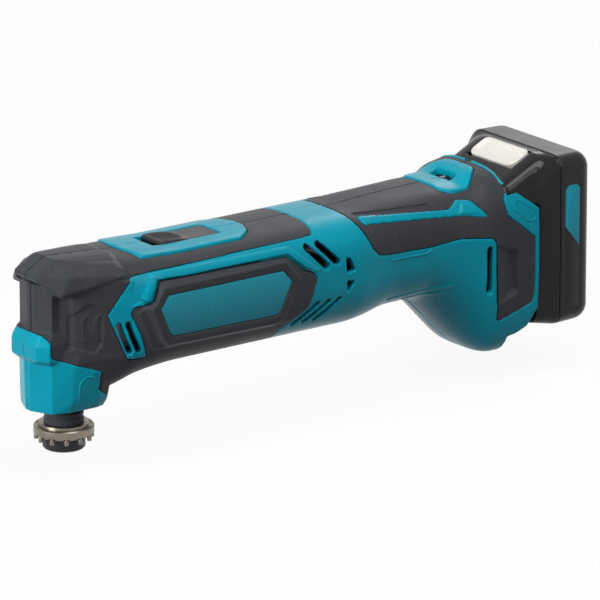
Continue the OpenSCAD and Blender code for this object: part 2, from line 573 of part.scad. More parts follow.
// Switch, dial and electronics
rod_z = axis_z + can_r + 0.3;
rod_t = 1;
module switch_slider() color(black) difference() {
  union() {
    box([slider_x, -slider_hw, rod_z + rod_t], [slider_x + slider_len, slider_hw, z_top + 0.3]);
    box([slider_x - 1, -8, rod_z + rod_t], [slider_x + slider_len + 1, 8, z_top - wall - gap]);
    for (k = [0:4]) translate([slider_x + 2.4 + k * 2.2, 0, z_top + 0.4]) rotate([90, 0, 0])
      cylinder(2 * slider_hw - 1.2, 2.2 - 0.12 * k, 2.2 - 0.12 * k, center = true, $fn = 24);
    box([slider_x + 0.4, -slider_hw + 0.6, z_top], [slider_x + 12.4, slider_hw - 0.6, z_top + 1.7]);
  }
  box([0, -20, 0], [200, 20, rod_z + rod_t]);
}
module switch_rod() color(black) {
  box([slider_x + 4, -4, rod_z], [148, 4, rod_z + rod_t]);
  box([144.6, -1.2, rod_z - 4.4], [146.8, 1.2, rod_z]);
}
module switch_unit() color(black) difference() {
  box([136.2, -6, 55], [154, 6, rod_z - 0.6]);
  box([144.6 - slider_travel - 0.6, -1.5, rod_z - 5], [147.4, 1.5, 80]);
}
module speed_dial() color(black) translate([0, 0, dial_z - axis_z]) difference() {
  union() {
    at_x(wheel_x) cylinder(dial_t, dial_d / 2, dial_d / 2);
    at_x(176.4) cylinder(wheel_x - 176.4, 2, 2);
  }
  for (i = [0:35]) at_x(wheel_x - 1) rotate(i * 10) translate([dial_d / 2, 0, 0])
    cylinder(dial_t + 2, 0.45, 0.45, $fn = 8);
}
module dial_pot() color(black) difference() {
  box([173.6, -6, dial_z - 6], [180, 6, dial_z + 6]);
  translate([0, 0, dial_z - axis_z]) at_x(176) cylinder(10, 2 + run, 2 + run);
}
module control_board() color(board) {
  box([172, -15, 36], [173.6, 15, 65.6]);
  for (s = [-1, 1]) box([173.6, s * 8 - 4, 39], [183, s * 8 + 4, 50]);
  translate([160.5, 0, 46]) rotate([0, 90, 0]) cylinder(11.5, 5, 5);
}
blade_y = [-11, 0, 11];
blade_x = [205.5, 211.5];
module blades() for (y = blade_y) box([blade_x[0], y - 0.4, 14], [blade_x[1], y + 0.4, 33]);
module terminal_block() color(black) difference() {
  box([channel_x, -18, floor_z], [213.5, 18, 24.4]);
  blades();
}
module contact_blades() color(brass) blades();
module lamp_lens() color([0.9, 0.93, 0.95]) at_lamp() cylinder(4.2, 2.15, 2.15);
module lamp_board() color(board) box([-8.9, -5, 61.4], [-7.9, 5, 64.6]);

// Battery
split_x = 226.4;
pack_low = 8.4;
pack_z = [pack_low, pack_low + cell_len + 6.4];
pack_wall = 1.8;
boss_x = 202.4;
boss_z = 24.8;
boss_hy = channel_hy - 0.4;
slope = [[boss_x, pack_z[1] - 10.2], [222.4, pack_z[1] - 0.4]];
slope_a = atan2(slope[1][1] - slope[0][1], slope[1][0] - slope[0][0]);
module pill(x, hy, z, r, o) for (s = [-1, 1], v = [z[0] + r, z[1] - r])
  translate([x, s * (hy - r), v]) rotate([0, 90, 0]) cylinder(0.01, r - o, r - o, $fn = 24);
module pack(o = 0) hull() {
  for (s = [-1, 1], v = [pack_z[0] + 7, pack_z[1] - 7])
    translate([pack_rear - 7, s * (pack_hw - 7), v]) sphere(7 - o, $fn = 24);
  pill(split_x - 0.5, pack_hw, pack_z, 6, o);
  pill(217.4 + o, 25, [pack_z[0] + 1, pack_z[1] - 11.6], 5.4, o);
  pill(220.4 + o, 27.6, [pack_z[0] + 0.6, pack_z[1] - 5], 7, o);
}
module slope_block(hy, drop) side([[boss_x, slope[0][1] - drop], [slope[1][0], slope[1][1] - drop],
  [225.4, slope[1][1] - 0.1 - drop], [225.4, boss_z], [boss_x, boss_z]], 2 * hy);
module boss() {
  hull() { slope_block(17.4, 0); slope_block(20.6, 0.8); slope_block(22.4, 2.6); slope_block(23, 5); }
  hull() { side([[boss_x, 62], [207, 66.2], [219, 69], [219, boss_z], [boss_x, boss_z]], 2 * boss_hy - 3);
    side([[boss_x + 1.5, 62], [207, 65], [219, 67], [219, boss_z + 1], [boss_x + 1.5, boss_z + 1]],
      2 * boss_hy); }
}
button_x = 217.2;
module on_slope() translate([button_x, 0, slope[0][1] + (button_x - boss_x) * tan(slope_a)])
  rotate([0, -slope_a, 0]) children();
button_l = 5.8;
button_hy = 14;
module button_room() {
  hull() on_slope() box([-button_l - gap, -button_hy - gap, -9], [button_l + gap, button_hy + gap, 6]);
  hull() box([boss_x - 2, -6.4, 55.6], [213, 6.4, 63]);
  hull() box([211.4, -6.4, 55.6], [217.8, 6.4, pack_z[1] - 7.6]);
}
module button_block() intersection() {
  hull() on_slope() box([-14, -17.6, -12.2], [14, 17.6, 10]);
  hull() box([190, -50, 0], [cell_x - cell_d / 2 - 0.5, 50, 120]);
}
module cell_room() for (k = [-1:1]) translate([cell_x, k * (cell_d + cell_gap), cell_z - 0.1])
  cylinder(cell_len - 0.4, cell_d / 2 + 0.2, cell_d / 2 + 0.2, $fn = 28);
module contact_room() for (y = blade_y) box([204.8, y - 1.25, 20], [220, y + 1.25, 37]);
module pack_solid() difference() {
  union() { pack(); boss(); }
  difference() { pack(pack_wall); button_block(); }
  cell_room();
  button_room();
  contact_room();
  for (s = [-1, 1]) box([208.1, s > 0 ? 21.5 : -30, 20], [212.1, s > 0 ? 30 : -21.5, rail_z + 0.4]);
  for (s = [-1, 1]) translate([0, s * (pack_hw + 4.5), 0]) hull() side(label_edge, 10);
  for (s = [-1, 1]) hull() translate([pack_rear + 0.4, s * (pack_hw + 0.4), 40]) rotate(45)
    cube([4.6, 4.6, 40], center = true);
}
label_top = pack_z[1] - 12.4;
label_edge = [[228.6, 15.2], [236.2, 15.2], [236.2, label_top - 1.6], [234.6, label_top],
  [230.4, label_top], [228.6, label_top - 2]];
module battery_front() color(black) intersection() {
  pack_solid();
  hull() box([190, -50, -10], [split_x, 50, 120]);
}
module battery_rear() color(black) intersection() {
  pack_solid();
  hull() box([split_x, -50, -10], [300, 50, 120]);
}
module battery_button() color([0.93, 0.92, 0.88]) {
  difference() {
    on_slope() box([-button_l, -button_hy, -5.2], [button_l, button_hy, 0.5]);
    box([cell_x - cell_d / 2 - 1.5, -20, 60], [230, 20, cell_z + cell_len + 1.3]);
  }
  box([212, -6, 59.5], [216.4, 6, pack_z[1] - 8.4]);
  box([boss_x - 0.1, -6, 59.5], [213, 6, 62.3]);
}
module battery_labels() color(teal) for (s = [-1, 1]) translate([0, s * (pack_hw - 0.3), 0])
  rotate([90, 0, 0]) linear_extrude(0.4, center = true) offset(delta = -0.1) polygon(label_edge);
cell_x = 232.4;
cell_z = pack_low + 3.3;
tray_t = 0.8;
strap_t = 0.2;
cell_gap = 0.1;
module cells() color([0.25, 0.45, 0.6]) for (k = [-1:1])
  translate([cell_x, k * (cell_d + cell_gap), cell_z]) {
    cylinder(cell_len - 0.6, cell_d / 2, cell_d / 2);
    cylinder(cell_len, 4, 4);
  }
module cell_frame() color(black) {
  for (z = [cell_z - tray_t - strap_t, cell_z + cell_len + strap_t])
    box([226.2, -23, z], [237.4, 23, z + tray_t]);
  for (s = [-1, 1]) translate([0, s * (cell_d + cell_gap) / 2, 0]) {
    box([226.2, -1.9, cell_z - strap_t - 0.2], [226.8, 1.9, cell_z + cell_len + strap_t + 0.2]);
    box([224.4, -1.9, cell_z], [226.4, 1.9, cell_z + cell_len - 2]);
  }
}
module cell_straps() color(steel) {
  for (y = [[-22, 4], [14, 23]]) box([228.4, y[0], cell_z - strap_t], [236.4, y[1], cell_z]);
  for (y = [[-22, -14], [-4, 22]]) translate([0, 0, cell_z + cell_len])
    box([228.4, y[0], 0], [236.4, y[1], strap_t]);
}
module battery_board() color(board) box([220.2, -19, 27], [221.8, 19, 52]);
module battery_contacts() color(brass) for (y = blade_y, s = [-1, 1])
  box([205.2, y + (s > 0 ? 0.75 : -1.25), 26], [220.2, y + (s > 0 ? 1.25 : -0.75), 36.6]);
module latch_spring() color(steel) rotate([90, 0, 0]) linear_extrude(5, center = true) polygon([[204, 55.6],
  [205.4, 55.6], [206.6, 56.8], [208, 55.6], [209.4, 56.8], [210.8, 55.6], [212.2, 55.6], [212.2, 56.2],
  [211.2, 56.2], [209.4, 57.4], [208, 56.3], [206.6, 57.4], [205, 56.2], [204, 56.2]]);

housing_left();
housing_right();
front_grip_left();
front_grip_right();
rear_grip_left();
rear_grip_right();
name_plate_left();
name_plate_right();
housing_screws();
gear_housing();
low_bearing();
top_bearing();
spindle();
swing_fork();
tool_flange();
flange_pins();
spindle_boot();
clamp_cap();
clamp_bolt();
rotor_shaft();
eccentric_bearing();
balance_weight();
front_bearing();
fan();
motor_can();
magnets();
rotor_core();
windings();
commutator();
motor_end_cap();
brushes();
rear_bearing();
switch_slider();
switch_rod();
switch_unit();
speed_dial();
dial_pot();
control_board();
terminal_block();
contact_blades();
lamp_lens();
lamp_board();
battery_front();
battery_rear();
battery_button();
battery_labels();
cells();
cell_frame();
cell_straps();
battery_board();
battery_contacts();
latch_spring();
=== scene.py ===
"""Looks of a cordless oscillating multi-tool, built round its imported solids.

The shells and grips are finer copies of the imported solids, the controls, the accessory seat and the trim
are modelled here, and every piece gets a procedural finish. Lengths in the classes are millimetres.
"""

import json
import logging
import math
from contextlib import contextmanager
from dataclasses import dataclass, field
from enum import Enum
from typing import Callable, Iterator, Sequence

import bpy
import numpy as np
from mathutils import Matrix, Vector
from mathutils.bvhtree import BVHTree


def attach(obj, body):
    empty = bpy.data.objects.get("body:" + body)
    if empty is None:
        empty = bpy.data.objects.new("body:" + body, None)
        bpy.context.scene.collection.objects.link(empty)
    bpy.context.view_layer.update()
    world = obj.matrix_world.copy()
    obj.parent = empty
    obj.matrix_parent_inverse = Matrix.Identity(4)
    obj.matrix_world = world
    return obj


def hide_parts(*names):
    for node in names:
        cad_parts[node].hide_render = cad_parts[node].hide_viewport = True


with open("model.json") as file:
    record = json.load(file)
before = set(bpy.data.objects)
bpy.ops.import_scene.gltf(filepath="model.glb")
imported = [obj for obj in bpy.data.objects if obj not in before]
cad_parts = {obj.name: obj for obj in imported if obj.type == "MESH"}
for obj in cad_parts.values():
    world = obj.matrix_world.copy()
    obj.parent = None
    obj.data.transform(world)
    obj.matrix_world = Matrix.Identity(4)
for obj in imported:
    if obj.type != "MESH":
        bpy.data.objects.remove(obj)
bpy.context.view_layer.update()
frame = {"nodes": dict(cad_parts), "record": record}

LOG = logging.getLogger("multi_tool")
MM = 0.001
Point = tuple[float, float, float]
Table = Sequence[tuple[float, float]]
Piece = bpy.types.Object
Tree = bpy.types.NodeTree
Socket = bpy.types.NodeSocket


class Side(Enum):
    """The tool's two halves, by the sign of their Y."""

    LEFT = -1
    RIGHT = 1

    @property
    def word(self) -> str:
        """The half's name as the nodes spell it."""
        return self.name.lower()


class Texture(Enum):
    """How a surface was made, which sets the pattern drawn on it."""

    MOULDED = "spark eroded mould grain"
    PEBBLED = "soft rubber grain"
    TURNED = "lathe rings round an axis"
    GROUND = "fine straight grinding marks"
    CAST = "sand blasted casting"
    WOUND = "turns of wire"
    ETCHED = "copper lands on a board"
    FILM = "printed film"


# Materials

# Length of one wave of the wave texture at a scale of one
WAVE_LENGTH = 0.314
# Width of a grinding mark as a share of its length
MARK_STRETCH = 0.05
# Where the slow noise mostly lies, and the stops at which it turns from the shade to the colour
DRIFT_RANGE = (0.3, 0.7)
SHADE_STOPS = (0.3, 0.62)
# Added to the drift times the pattern's height, so that only deep pits fall to the shade
PIT_LIFT = 0.15
# Numbers of the mix node's colour sockets: first, second and result
MIX_FIRST, MIX_SECOND, MIX_RESULT = 6, 7, 2


def hex_linear(code: str) -> tuple[float, float, float, float]:
    """Turns an sRGB hex colour into the linear colour that shaders take.

    Args:
        code: six hex digits with a leading #.

    Returns:
        Linear red, green and blue, and an alpha of one.
    """
    parts = [int(code[i:i + 2], 16) / 255 for i in (1, 3, 5)]
    red, green, blue = (c / 12.92 if c <= 0.04045 else ((c + 0.055) / 1.055) ** 2.4 for c in parts)
    return red, green, blue, 1.0


def add_node(tree: Tree, kind: str, inputs: dict | None = None, **settings: object) -> bpy.types.Node:
    """Adds one node with its settings, values and links.

    Args:
        tree: the material's or world's node tree.
        kind: the node's class name.
        inputs: socket name or number to a value, or to the output socket that feeds it.
        settings: attributes of the node itself.

    Returns:
        The new node.
    """
    node = tree.nodes.new(kind)
    for key, value in settings.items():
        setattr(node, key, value)
    for key, value in (inputs or {}).items():
        if isinstance(value, bpy.types.NodeSocket):
            tree.links.new(value, node.inputs[key])
        else:
            node.inputs[key].default_value = value
    return node


def empty_tree(owner: bpy.types.Material | bpy.types.World) -> Tree:
    """Gives a new material or world a node tree with nothing in it."""
    owner.use_nodes = True
    owner.node_tree.nodes.clear()
    return owner.node_tree


@dataclass(frozen=True)
class Finish:
    """One real material and how its surface was made."""

    name: str  # the material's common name
    colour: str  # its usual colour
    shade: str  # the colour it drifts to in patches
    rough: tuple[float, float]  # lowest and highest roughness
    texture: Texture = Texture.MOULDED  # the pattern of its making
    grain: float = 0.9  # size of that pattern in millimetres
    depth: float = 0.02  # height of that pattern in millimetres
    metal: float = 0.0  # one for a metal
    ior: float = 1.5  # index of refraction
    clear: float = 0.0  # share of the light that goes through
    sheen: float = 0.0  # weight of the soft bloom that rubber has
    gleam: float = 0.5  # how strongly the bare surface mirrors, 0.5 for a clean smooth one
    axis: str = "z"  # direction of a lathe axis, a winding or grinding marks, as x, y or z
    patch: float = 14.0  # size of the patches that it drifts in, in millimetres

    def pattern(self, tree: Tree, place: Socket) -> Socket:
        """Draws the surface's own pattern.

        Args:
            tree: the material's node tree.
            place: Object coordinates in metres.

        Returns:
            A socket with the pattern's height, from 0 to 1.
        """
        scale = 1 / (self.grain * MM)
        spread = {"Vector": place, "Scale": scale}
        if self.texture is Texture.PEBBLED:
            return add_node(tree, "ShaderNodeTexVoronoi", spread, feature="SMOOTH_F1").outputs["Distance"]
        if self.texture is Texture.ETCHED:
            return add_node(tree, "ShaderNodeTexVoronoi", spread, distance="MANHATTAN").outputs["Distance"]
        if self.texture in (Texture.TURNED, Texture.WOUND):
            kind = "RINGS" if self.texture is Texture.TURNED else "BANDS"
            spread |= {"Scale": scale * WAVE_LENGTH, "Distortion": 0.6, "Detail": 2.0, "Detail Scale": 2.0}
            way = {"wave_type": kind, f"{kind.lower()}_direction": self.axis.upper()}
            return add_node(tree, "ShaderNodeTexWave", spread, **way).outputs["Fac"]
        if self.texture is Texture.GROUND:
            stretch = [1.0 if a != self.axis else MARK_STRETCH for a in "xyz"]
            mapping = add_node(tree, "ShaderNodeMapping", {"Vector": place, "Scale": stretch})
            spread["Vector"] = mapping.outputs[0]
        spread |= {"Detail": 3.0, "Roughness": 0.6}
        return add_node(tree, "ShaderNodeTexNoise", spread).outputs["Fac"]

    def colours(self, tree: Tree, drift: Socket, height: Socket) -> Socket:
        """Colours the surface, with a slow drift and a little darkening in its pits.

        Args:
            tree: the material's node tree.
            drift: a slow noise from 0 to 1.
            height: the pattern's height.

        Returns:
            The socket with the colour.
        """
        both = add_node(tree, "ShaderNodeMath", {0: drift, 1: height, 2: PIT_LIFT}, operation="MULTIPLY_ADD")
        ramp = add_node(tree, "ShaderNodeValToRGB", {"Fac": both.outputs[0]})
        for stop, place, code in zip(ramp.color_ramp.elements, SHADE_STOPS, (self.shade, self.colour)):
            stop.position = place
            stop.color = hex_linear(code)
        return ramp.outputs["Color"]

    def printed(self, tree: Tree, place: Socket, colour: Socket) -> Socket:
        """The colour with the print and the painted shade laid over it; a plain finish has neither."""
        return colour

    def material(self) -> bpy.types.Material:
        """Builds the material once, and gives the same one after that.

        Returns:
            The node based material.
        """
        made = bpy.data.materials.get(self.name)
        if made:
            return made
        made = bpy.data.materials.new(self.name)
        tree = empty_tree(made)
        place = add_node(tree, "ShaderNodeTexCoord").outputs["Object"]
        slow = {"Vector": place, "Scale": 1 / (self.patch * MM), "Detail": 2.0}
        drift = add_node(tree, "ShaderNodeTexNoise", slow).outputs["Fac"]
        height = self.pattern(tree, place)
        rough = add_node(tree, "ShaderNodeMapRange", {
            "Value": drift, "From Min": DRIFT_RANGE[0], "From Max": DRIFT_RANGE[1],
            "To Min": self.rough[0], "To Max": self.rough[1]})
        relief = {"Height": height, "Strength": 1.0, "Distance": self.depth * MM}
        bump = add_node(tree, "ShaderNodeBump", relief)
        shader = add_node(tree, "ShaderNodeBsdfPrincipled", {
            "Base Color": self.printed(tree, place, self.colours(tree, drift, height)),
            "Roughness": rough.outputs["Result"], "Metallic": self.metal, "IOR": self.ior,
            "Transmission Weight": self.clear, "Sheen Weight": self.sheen, "Specular IOR Level": self.gleam,
            "Normal": bump.outputs["Normal"]})
        add_node(tree, "ShaderNodeOutputMaterial", {"Surface": shader.outputs["BSDF"]})
        return made


@dataclass(frozen=True)
class PrintedFilm(Finish):
    """Film whose lower part has another colour, up to an edge that can be soft and can slant: a printed field
    on the label, and painted shade that darkens the lower part of the name plates.
    """

    lower: str = "#007689"  # colour of the lower part; this default darker teal is painted shade, used on the name plates
    # Heights at edge_x where the lower colour ends and where the upper one is full; the default soft edge
    # fades the name plates' painted shade out towards their top
    edge: tuple[float, float] = (41.0, 56.0)
    edge_x: float = 0.0  # where along X they are measured
    slant: float = 0.0  # fall of the edge for each millimetre to the rear

    def printed(self, tree: Tree, place: Socket, colour: Socket) -> Socket:
        """Colours the lower part, which is a printed field on the label and painted shade on the name plates.

        Args:
            tree: the material's node tree.
            place: Object coordinates in metres.
            colour: the upper part's colour.

        Returns:
            The socket with the printed colour.
        """
        axes = add_node(tree, "ShaderNodeSeparateXYZ", {0: place}).outputs
        level = add_node(tree, "ShaderNodeMath", {0: axes["X"], 1: self.slant, 2: axes["Z"]},
                         operation="MULTIPLY_ADD")
        low, high = ((z + self.slant * self.edge_x) * MM for z in self.edge)
        share = add_node(tree, "ShaderNodeMapRange", {
            "Value": level.outputs[0], "From Min": low, "From Max": high})
        # On the name plates this mix paints shade on the lower part; on the label it prints the black field
        mix = add_node(tree, "ShaderNodeMix", {
            0: share.outputs["Result"], MIX_FIRST: hex_linear(self.lower), MIX_SECOND: colour},
            data_type="RGBA")
        return mix.outputs[MIX_RESULT]


# Finishes, by the record's material slots
FINISHES: dict[str, Finish] = {
    # Glass filled nylon, satin from a spark eroded mould, with a coarser grain than life so that it shows
    "teal_plastic": Finish("glass_filled_nylon", "#009fb7", "#0097ad", (0.24, 0.31), depth=0.012, gleam=0.12),
    # Thermoplastic elastomer moulded over the shell: dull and cool grey, with a soft bloom
    "grip_rubber": Finish("overmoulded_elastomer", "#44464b", "#3b3d42", (0.4, 0.5),
                          Texture.PEBBLED, 0.7, 0.03, sheen=0.02, gleam=0.09),
    # Black ABS with a light grain
    "black_plastic": Finish("black_abs", "#222326", "#1b1c1f", (0.26, 0.36), depth=0.008, gleam=0.22),
    # Screen printed polycarbonate film with painted shade: pale at the top and painted a darker teal towards
    # the bottom
    "plate_teal": PrintedFilm("printed_polycarbonate_film", "#1fa9c0", "#1aa3ba", (0.22, 0.28),
                              Texture.FILM, 0.5, 0.004, gleam=0.22),
    # Off-white ABS, nearly smooth
    "button_white": Finish("off_white_abs", "#eae7e0", "#e2ded6", (0.36, 0.44), depth=0.006),
    # Nickel plated steel, turned and then blasted, so it is warm and satin
    "flange_nickel": Finish("satin_nickel_plate", "#8b8276", "#787065", (0.28, 0.4),
                            Texture.TURNED, 0.9, 0.006, 1.0),
    # Ground bearing steel
    "steel": Finish("ground_steel", "#b9babd", "#a9aaae", (0.22, 0.34), Texture.GROUND, 0.8, 0.004, 1.0),
    # Steel blacked in an oxide bath
    "black_steel": Finish("black_oxide_steel", "#2a2b2f", "#202124", (0.3, 0.42),
                          Texture.TURNED, 0.8, 0.006, 0.7),
    # Pressure die cast aluminium
    "cast_aluminium": Finish("die_cast_aluminium", "#b4b6b8", "#a2a4a7", (0.42, 0.55),
                             Texture.CAST, 1.0, 0.02, 1.0),
    # Enamelled copper wire
    "copper": Finish("enamelled_copper_wire", "#b8733f", "#97592f", (0.25, 0.35),
                     Texture.WOUND, 0.7, 0.12, 1.0, axis="x"),
    # Tin plated brass strip
    "brass": Finish("rolled_brass_strip", "#d2a95a", "#bd9448", (0.25, 0.35),
                    Texture.GROUND, 0.8, 0.004, 1.0),
    # Glass epoxy board under solder mask
    "board_green": Finish("solder_mask_board", "#1d6b3e", "#114c2b", (0.3, 0.4), Texture.ETCHED, 2.4, 0.03),
    # Sintered ferrite
    "magnet": Finish("sintered_ferrite", "#3a3b3e", "#2f3033", (0.5, 0.65), Texture.CAST, 1.2, 0.02, 0.3),
    # Pressed carbon
    "carbon": Finish("pressed_carbon", "#2c2d30", "#242528", (0.5, 0.65), Texture.CAST, 0.8, 0.02),
    # Shrink sleeve over a steel can
    "cell_wrap": Finish("cell_shrink_sleeve", "#2f6f9a", "#275f86", (0.2, 0.28), Texture.FILM, 1.0, 0.006),
    # Clear polycarbonate, of which only the edges show
    "lens_clear": Finish("clear_polycarbonate", "#eef4f6", "#e4ecef", (0.05, 0.1),
                         Texture.FILM, 1.0, 0.002, ior=1.58, clear=0.85),
}
# The pack's front half comes out of a polished mould, so it mirrors the soft boxes
GLOSS_BLACK = Finish("polished_black_abs", "#18191b", "#131416", (0.15, 0.2), depth=0.003, gleam=0.22)
# Satin printed film, teal over black with a sharp edge between them
LABEL = PrintedFilm("two_field_label_film", "#159bb0", "#1095aa", (0.22, 0.28), Texture.FILM, 0.5, 0.004,
                    gleam=0.22, lower="#1b1c1e", edge=(46.0, 46.001), edge_x=232.4, slant=1.2)
# The thumb piece is the same ABS from a coarser mould, so it is duller than the pack
THUMB_BLACK = Finish("grained_black_abs", "#2d2e32", "#26272b", (0.4, 0.5), Texture.PEBBLED, 0.5, 0.02,
                     gleam=0.35)
# Opaque white pad print, a little chalky
WHITE_INK = Finish("white_pad_print", "#e9ebec", "#dfe2e4", (0.4, 0.5), Texture.FILM, 0.5, 0.002)


# Mesh helpers

def activate(piece: Piece) -> None:
    """Makes one object the only selected and active one."""
    bpy.ops.object.select_all(action="DESELECT")
    piece.select_set(True)
    bpy.context.view_layer.objects.active = piece


@contextmanager
def editing(piece: Piece, every: bool = True) -> Iterator[None]:
    """Opens a mesh for editing and closes it again.

    Args:
        piece: the object.
        every: whether all of it is selected, in place of what was selected before.

    Returns:
        A context in which mesh operators work on the piece.
    """
    activate(piece)
    bpy.ops.object.mode_set(mode="EDIT")
    if every:
        bpy.ops.mesh.select_all(action="SELECT")
    yield
    bpy.ops.object.mode_set(mode="OBJECT")


def apply_modifier(piece: Piece, kind: str, **settings: object) -> None:
    """Adds a modifier, sets it and applies it.

    Args:
        piece: the object.
        kind: the modifier's type.
        settings: its attributes.
    """
    activate(piece)
    modifier = piece.modifiers.new(kind.lower(), kind)
    for key, value in settings.items():
        setattr(modifier, key, value)
    bpy.ops.object.modifier_apply(modifier=modifier.name)


def added(operator: Callable[..., set[str]], **settings: object) -> Piece:
    """Runs an operator that adds an object with nothing else selected, and gives the object."""
    bpy.ops.object.select_all(action="DESELECT")
    operator(**settings)
    return bpy.context.active_object


def linked(name: str, data: bpy.types.ID) -> Piece:
    """Puts a mesh, curve, lamp or camera into the scene as an object."""
    piece = bpy.data.objects.new(name, data)
    bpy.context.scene.collection.objects.link(piece)
    return piece


def points_of(piece: Piece) -> np.ndarray:
    """The vertices of a mesh, one row each, in metres."""
    flat = np.empty(len(piece.data.vertices) * 3)
    piece.data.vertices.foreach_get("co", flat)
    return flat.reshape(-1, 3)


def set_points(piece: Piece, points: np.ndarray) -> None:
    """Puts the vertices of a mesh at new places in metres."""
    piece.data.vertices.foreach_set("co", points.ravel())
    piece.data.update()


def fade(values: np.ndarray, start: float | np.ndarray, width: float) -> np.ndarray:
    """Shares that go from 0 at start to 1 over a width, which is negative where they go backwards."""
    return np.clip((values - start) / width, 0, 1)


def smooth(piece: Piece, angle: float) -> None:
    """Shades a piece smooth, apart from edges sharper than the angle in degrees."""
    activate(piece)
    bpy.ops.object.shade_smooth_by_angle(angle=math.radians(angle))


def finer_copy(node: str, name: str, merge: float = 0.002) -> Piece:
    """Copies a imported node's mesh into a new object and merges its loose triangles.

    Args:
        node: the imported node.
        name: the new piece's name.
        merge: corners closer than this many millimetres become one.

    Returns:
        The new object, at the origin.
    """
    piece = linked(name, frame["nodes"][node].data.copy())
    with editing(piece):
        bpy.ops.mesh.remove_doubles(threshold=merge * MM)
    if piece.data.has_custom_normals:
        bpy.ops.mesh.customdata_custom_splitnormals_clear()
    return piece


def heal(piece: Piece, shortest: float = 0.004) -> None:
    """Takes out edges without length and closes the pinholes that a modifier can leave.

    Args:
        piece: the object.
        shortest: edges below this many millimetres go.
    """
    with editing(piece):
        bpy.ops.mesh.dissolve_degenerate(threshold=shortest * MM)
        bpy.ops.mesh.fill_holes(sides=4)


def break_edges(piece: Piece, width: float, segments: int, angle: float) -> None:
    """Bevels the edges that are sharper than an angle in degrees, by a width in millimetres."""
    apply_modifier(piece, "BEVEL", width=width * MM, segments=segments, limit_method="ANGLE",
                   angle_limit=math.radians(angle))


def bevelled(node: str, name: str, width: float, segments: int = 2, angle: float = 32.0) -> Piece:
    """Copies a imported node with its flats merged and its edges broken.

    Args:
        node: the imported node.
        name: the new piece's name.
        width: width of the broken edge in millimetres.
        segments: faces across that edge.
        angle: edges sharper than this many degrees are broken.

    Returns:
        The new object.
    """
    piece = finer_copy(node, name)
    with editing(piece):
        bpy.ops.mesh.dissolve_limited(angle_limit=math.radians(1.0))
    break_edges(piece, width, segments, angle)
    smooth(piece, angle)
    return piece


def cut_off(piece: Piece, place: Sequence[float], normal: Sequence[float]) -> None:
    """Saws a piece through a place in millimetres, drops what the normal points at and closes the cut."""
    with editing(piece):
        bpy.ops.mesh.bisect(plane_co=[c * MM for c in place], plane_no=normal, use_fill=True,
                            clear_outer=True)


def carve(piece: Piece, cutter: Piece) -> None:
    """Cuts one closed piece out of another and drops the cutter."""
    apply_modifier(piece, "BOOLEAN", operation="DIFFERENCE", object=cutter, solver="EXACT")
    bpy.data.objects.remove(cutter)


def joined(pieces: Sequence[Piece]) -> Piece:
    """Joins objects into the first of them."""
    activate(pieces[0])
    for piece in pieces:
        piece.select_set(True)
    bpy.ops.object.join()
    return pieces[0]


def bead(name: str, points: Sequence[Vector], radius: float) -> Piece:
    """Lays a round bead along points and makes it a mesh.

    Args:
        name: the new piece's name.
        points: places in metres.
        radius: of the bead, in millimetres.

    Returns:
        The new object.
    """
    curve = bpy.data.curves.new(name, "CURVE")
    curve.dimensions = "3D"
    curve.bevel_depth = radius * MM
    curve.bevel_resolution = 2
    curve.use_fill_caps = True
    line = curve.splines.new("POLY")
    line.points.add(len(points) - 1)
    for knot, place in zip(line.points, points):
        knot.co = (*place, 1.0)
    piece = linked(name, curve)
    activate(piece)
    bpy.ops.object.convert(target="MESH")
    smooth(piece, angle=50)
    return piece


def hand_in(piece: Piece, body: str, slot: str, finish: Finish | None = None,
            replaced: Sequence[str] = ()) -> Piece:
    """Gives a finished piece its material, its body and the nodes it stands for.

    Args:
        piece: the finished object.
        body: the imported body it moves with.
        slot: the record's material slot.
        finish: a finish other than the slot's own.
        replaced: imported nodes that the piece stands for.

    Returns:
        The same object.
    """
    piece.data.materials.clear()
    piece.data.materials.append((finish or FINISHES[slot]).material())
    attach(piece, body)
    if replaced:
        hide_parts(*replaced)
    LOG.info("%s on %s: %d faces, for %s", piece.name, body, len(piece.data.polygons), replaced or "itself")
    return piece


# The body's skin

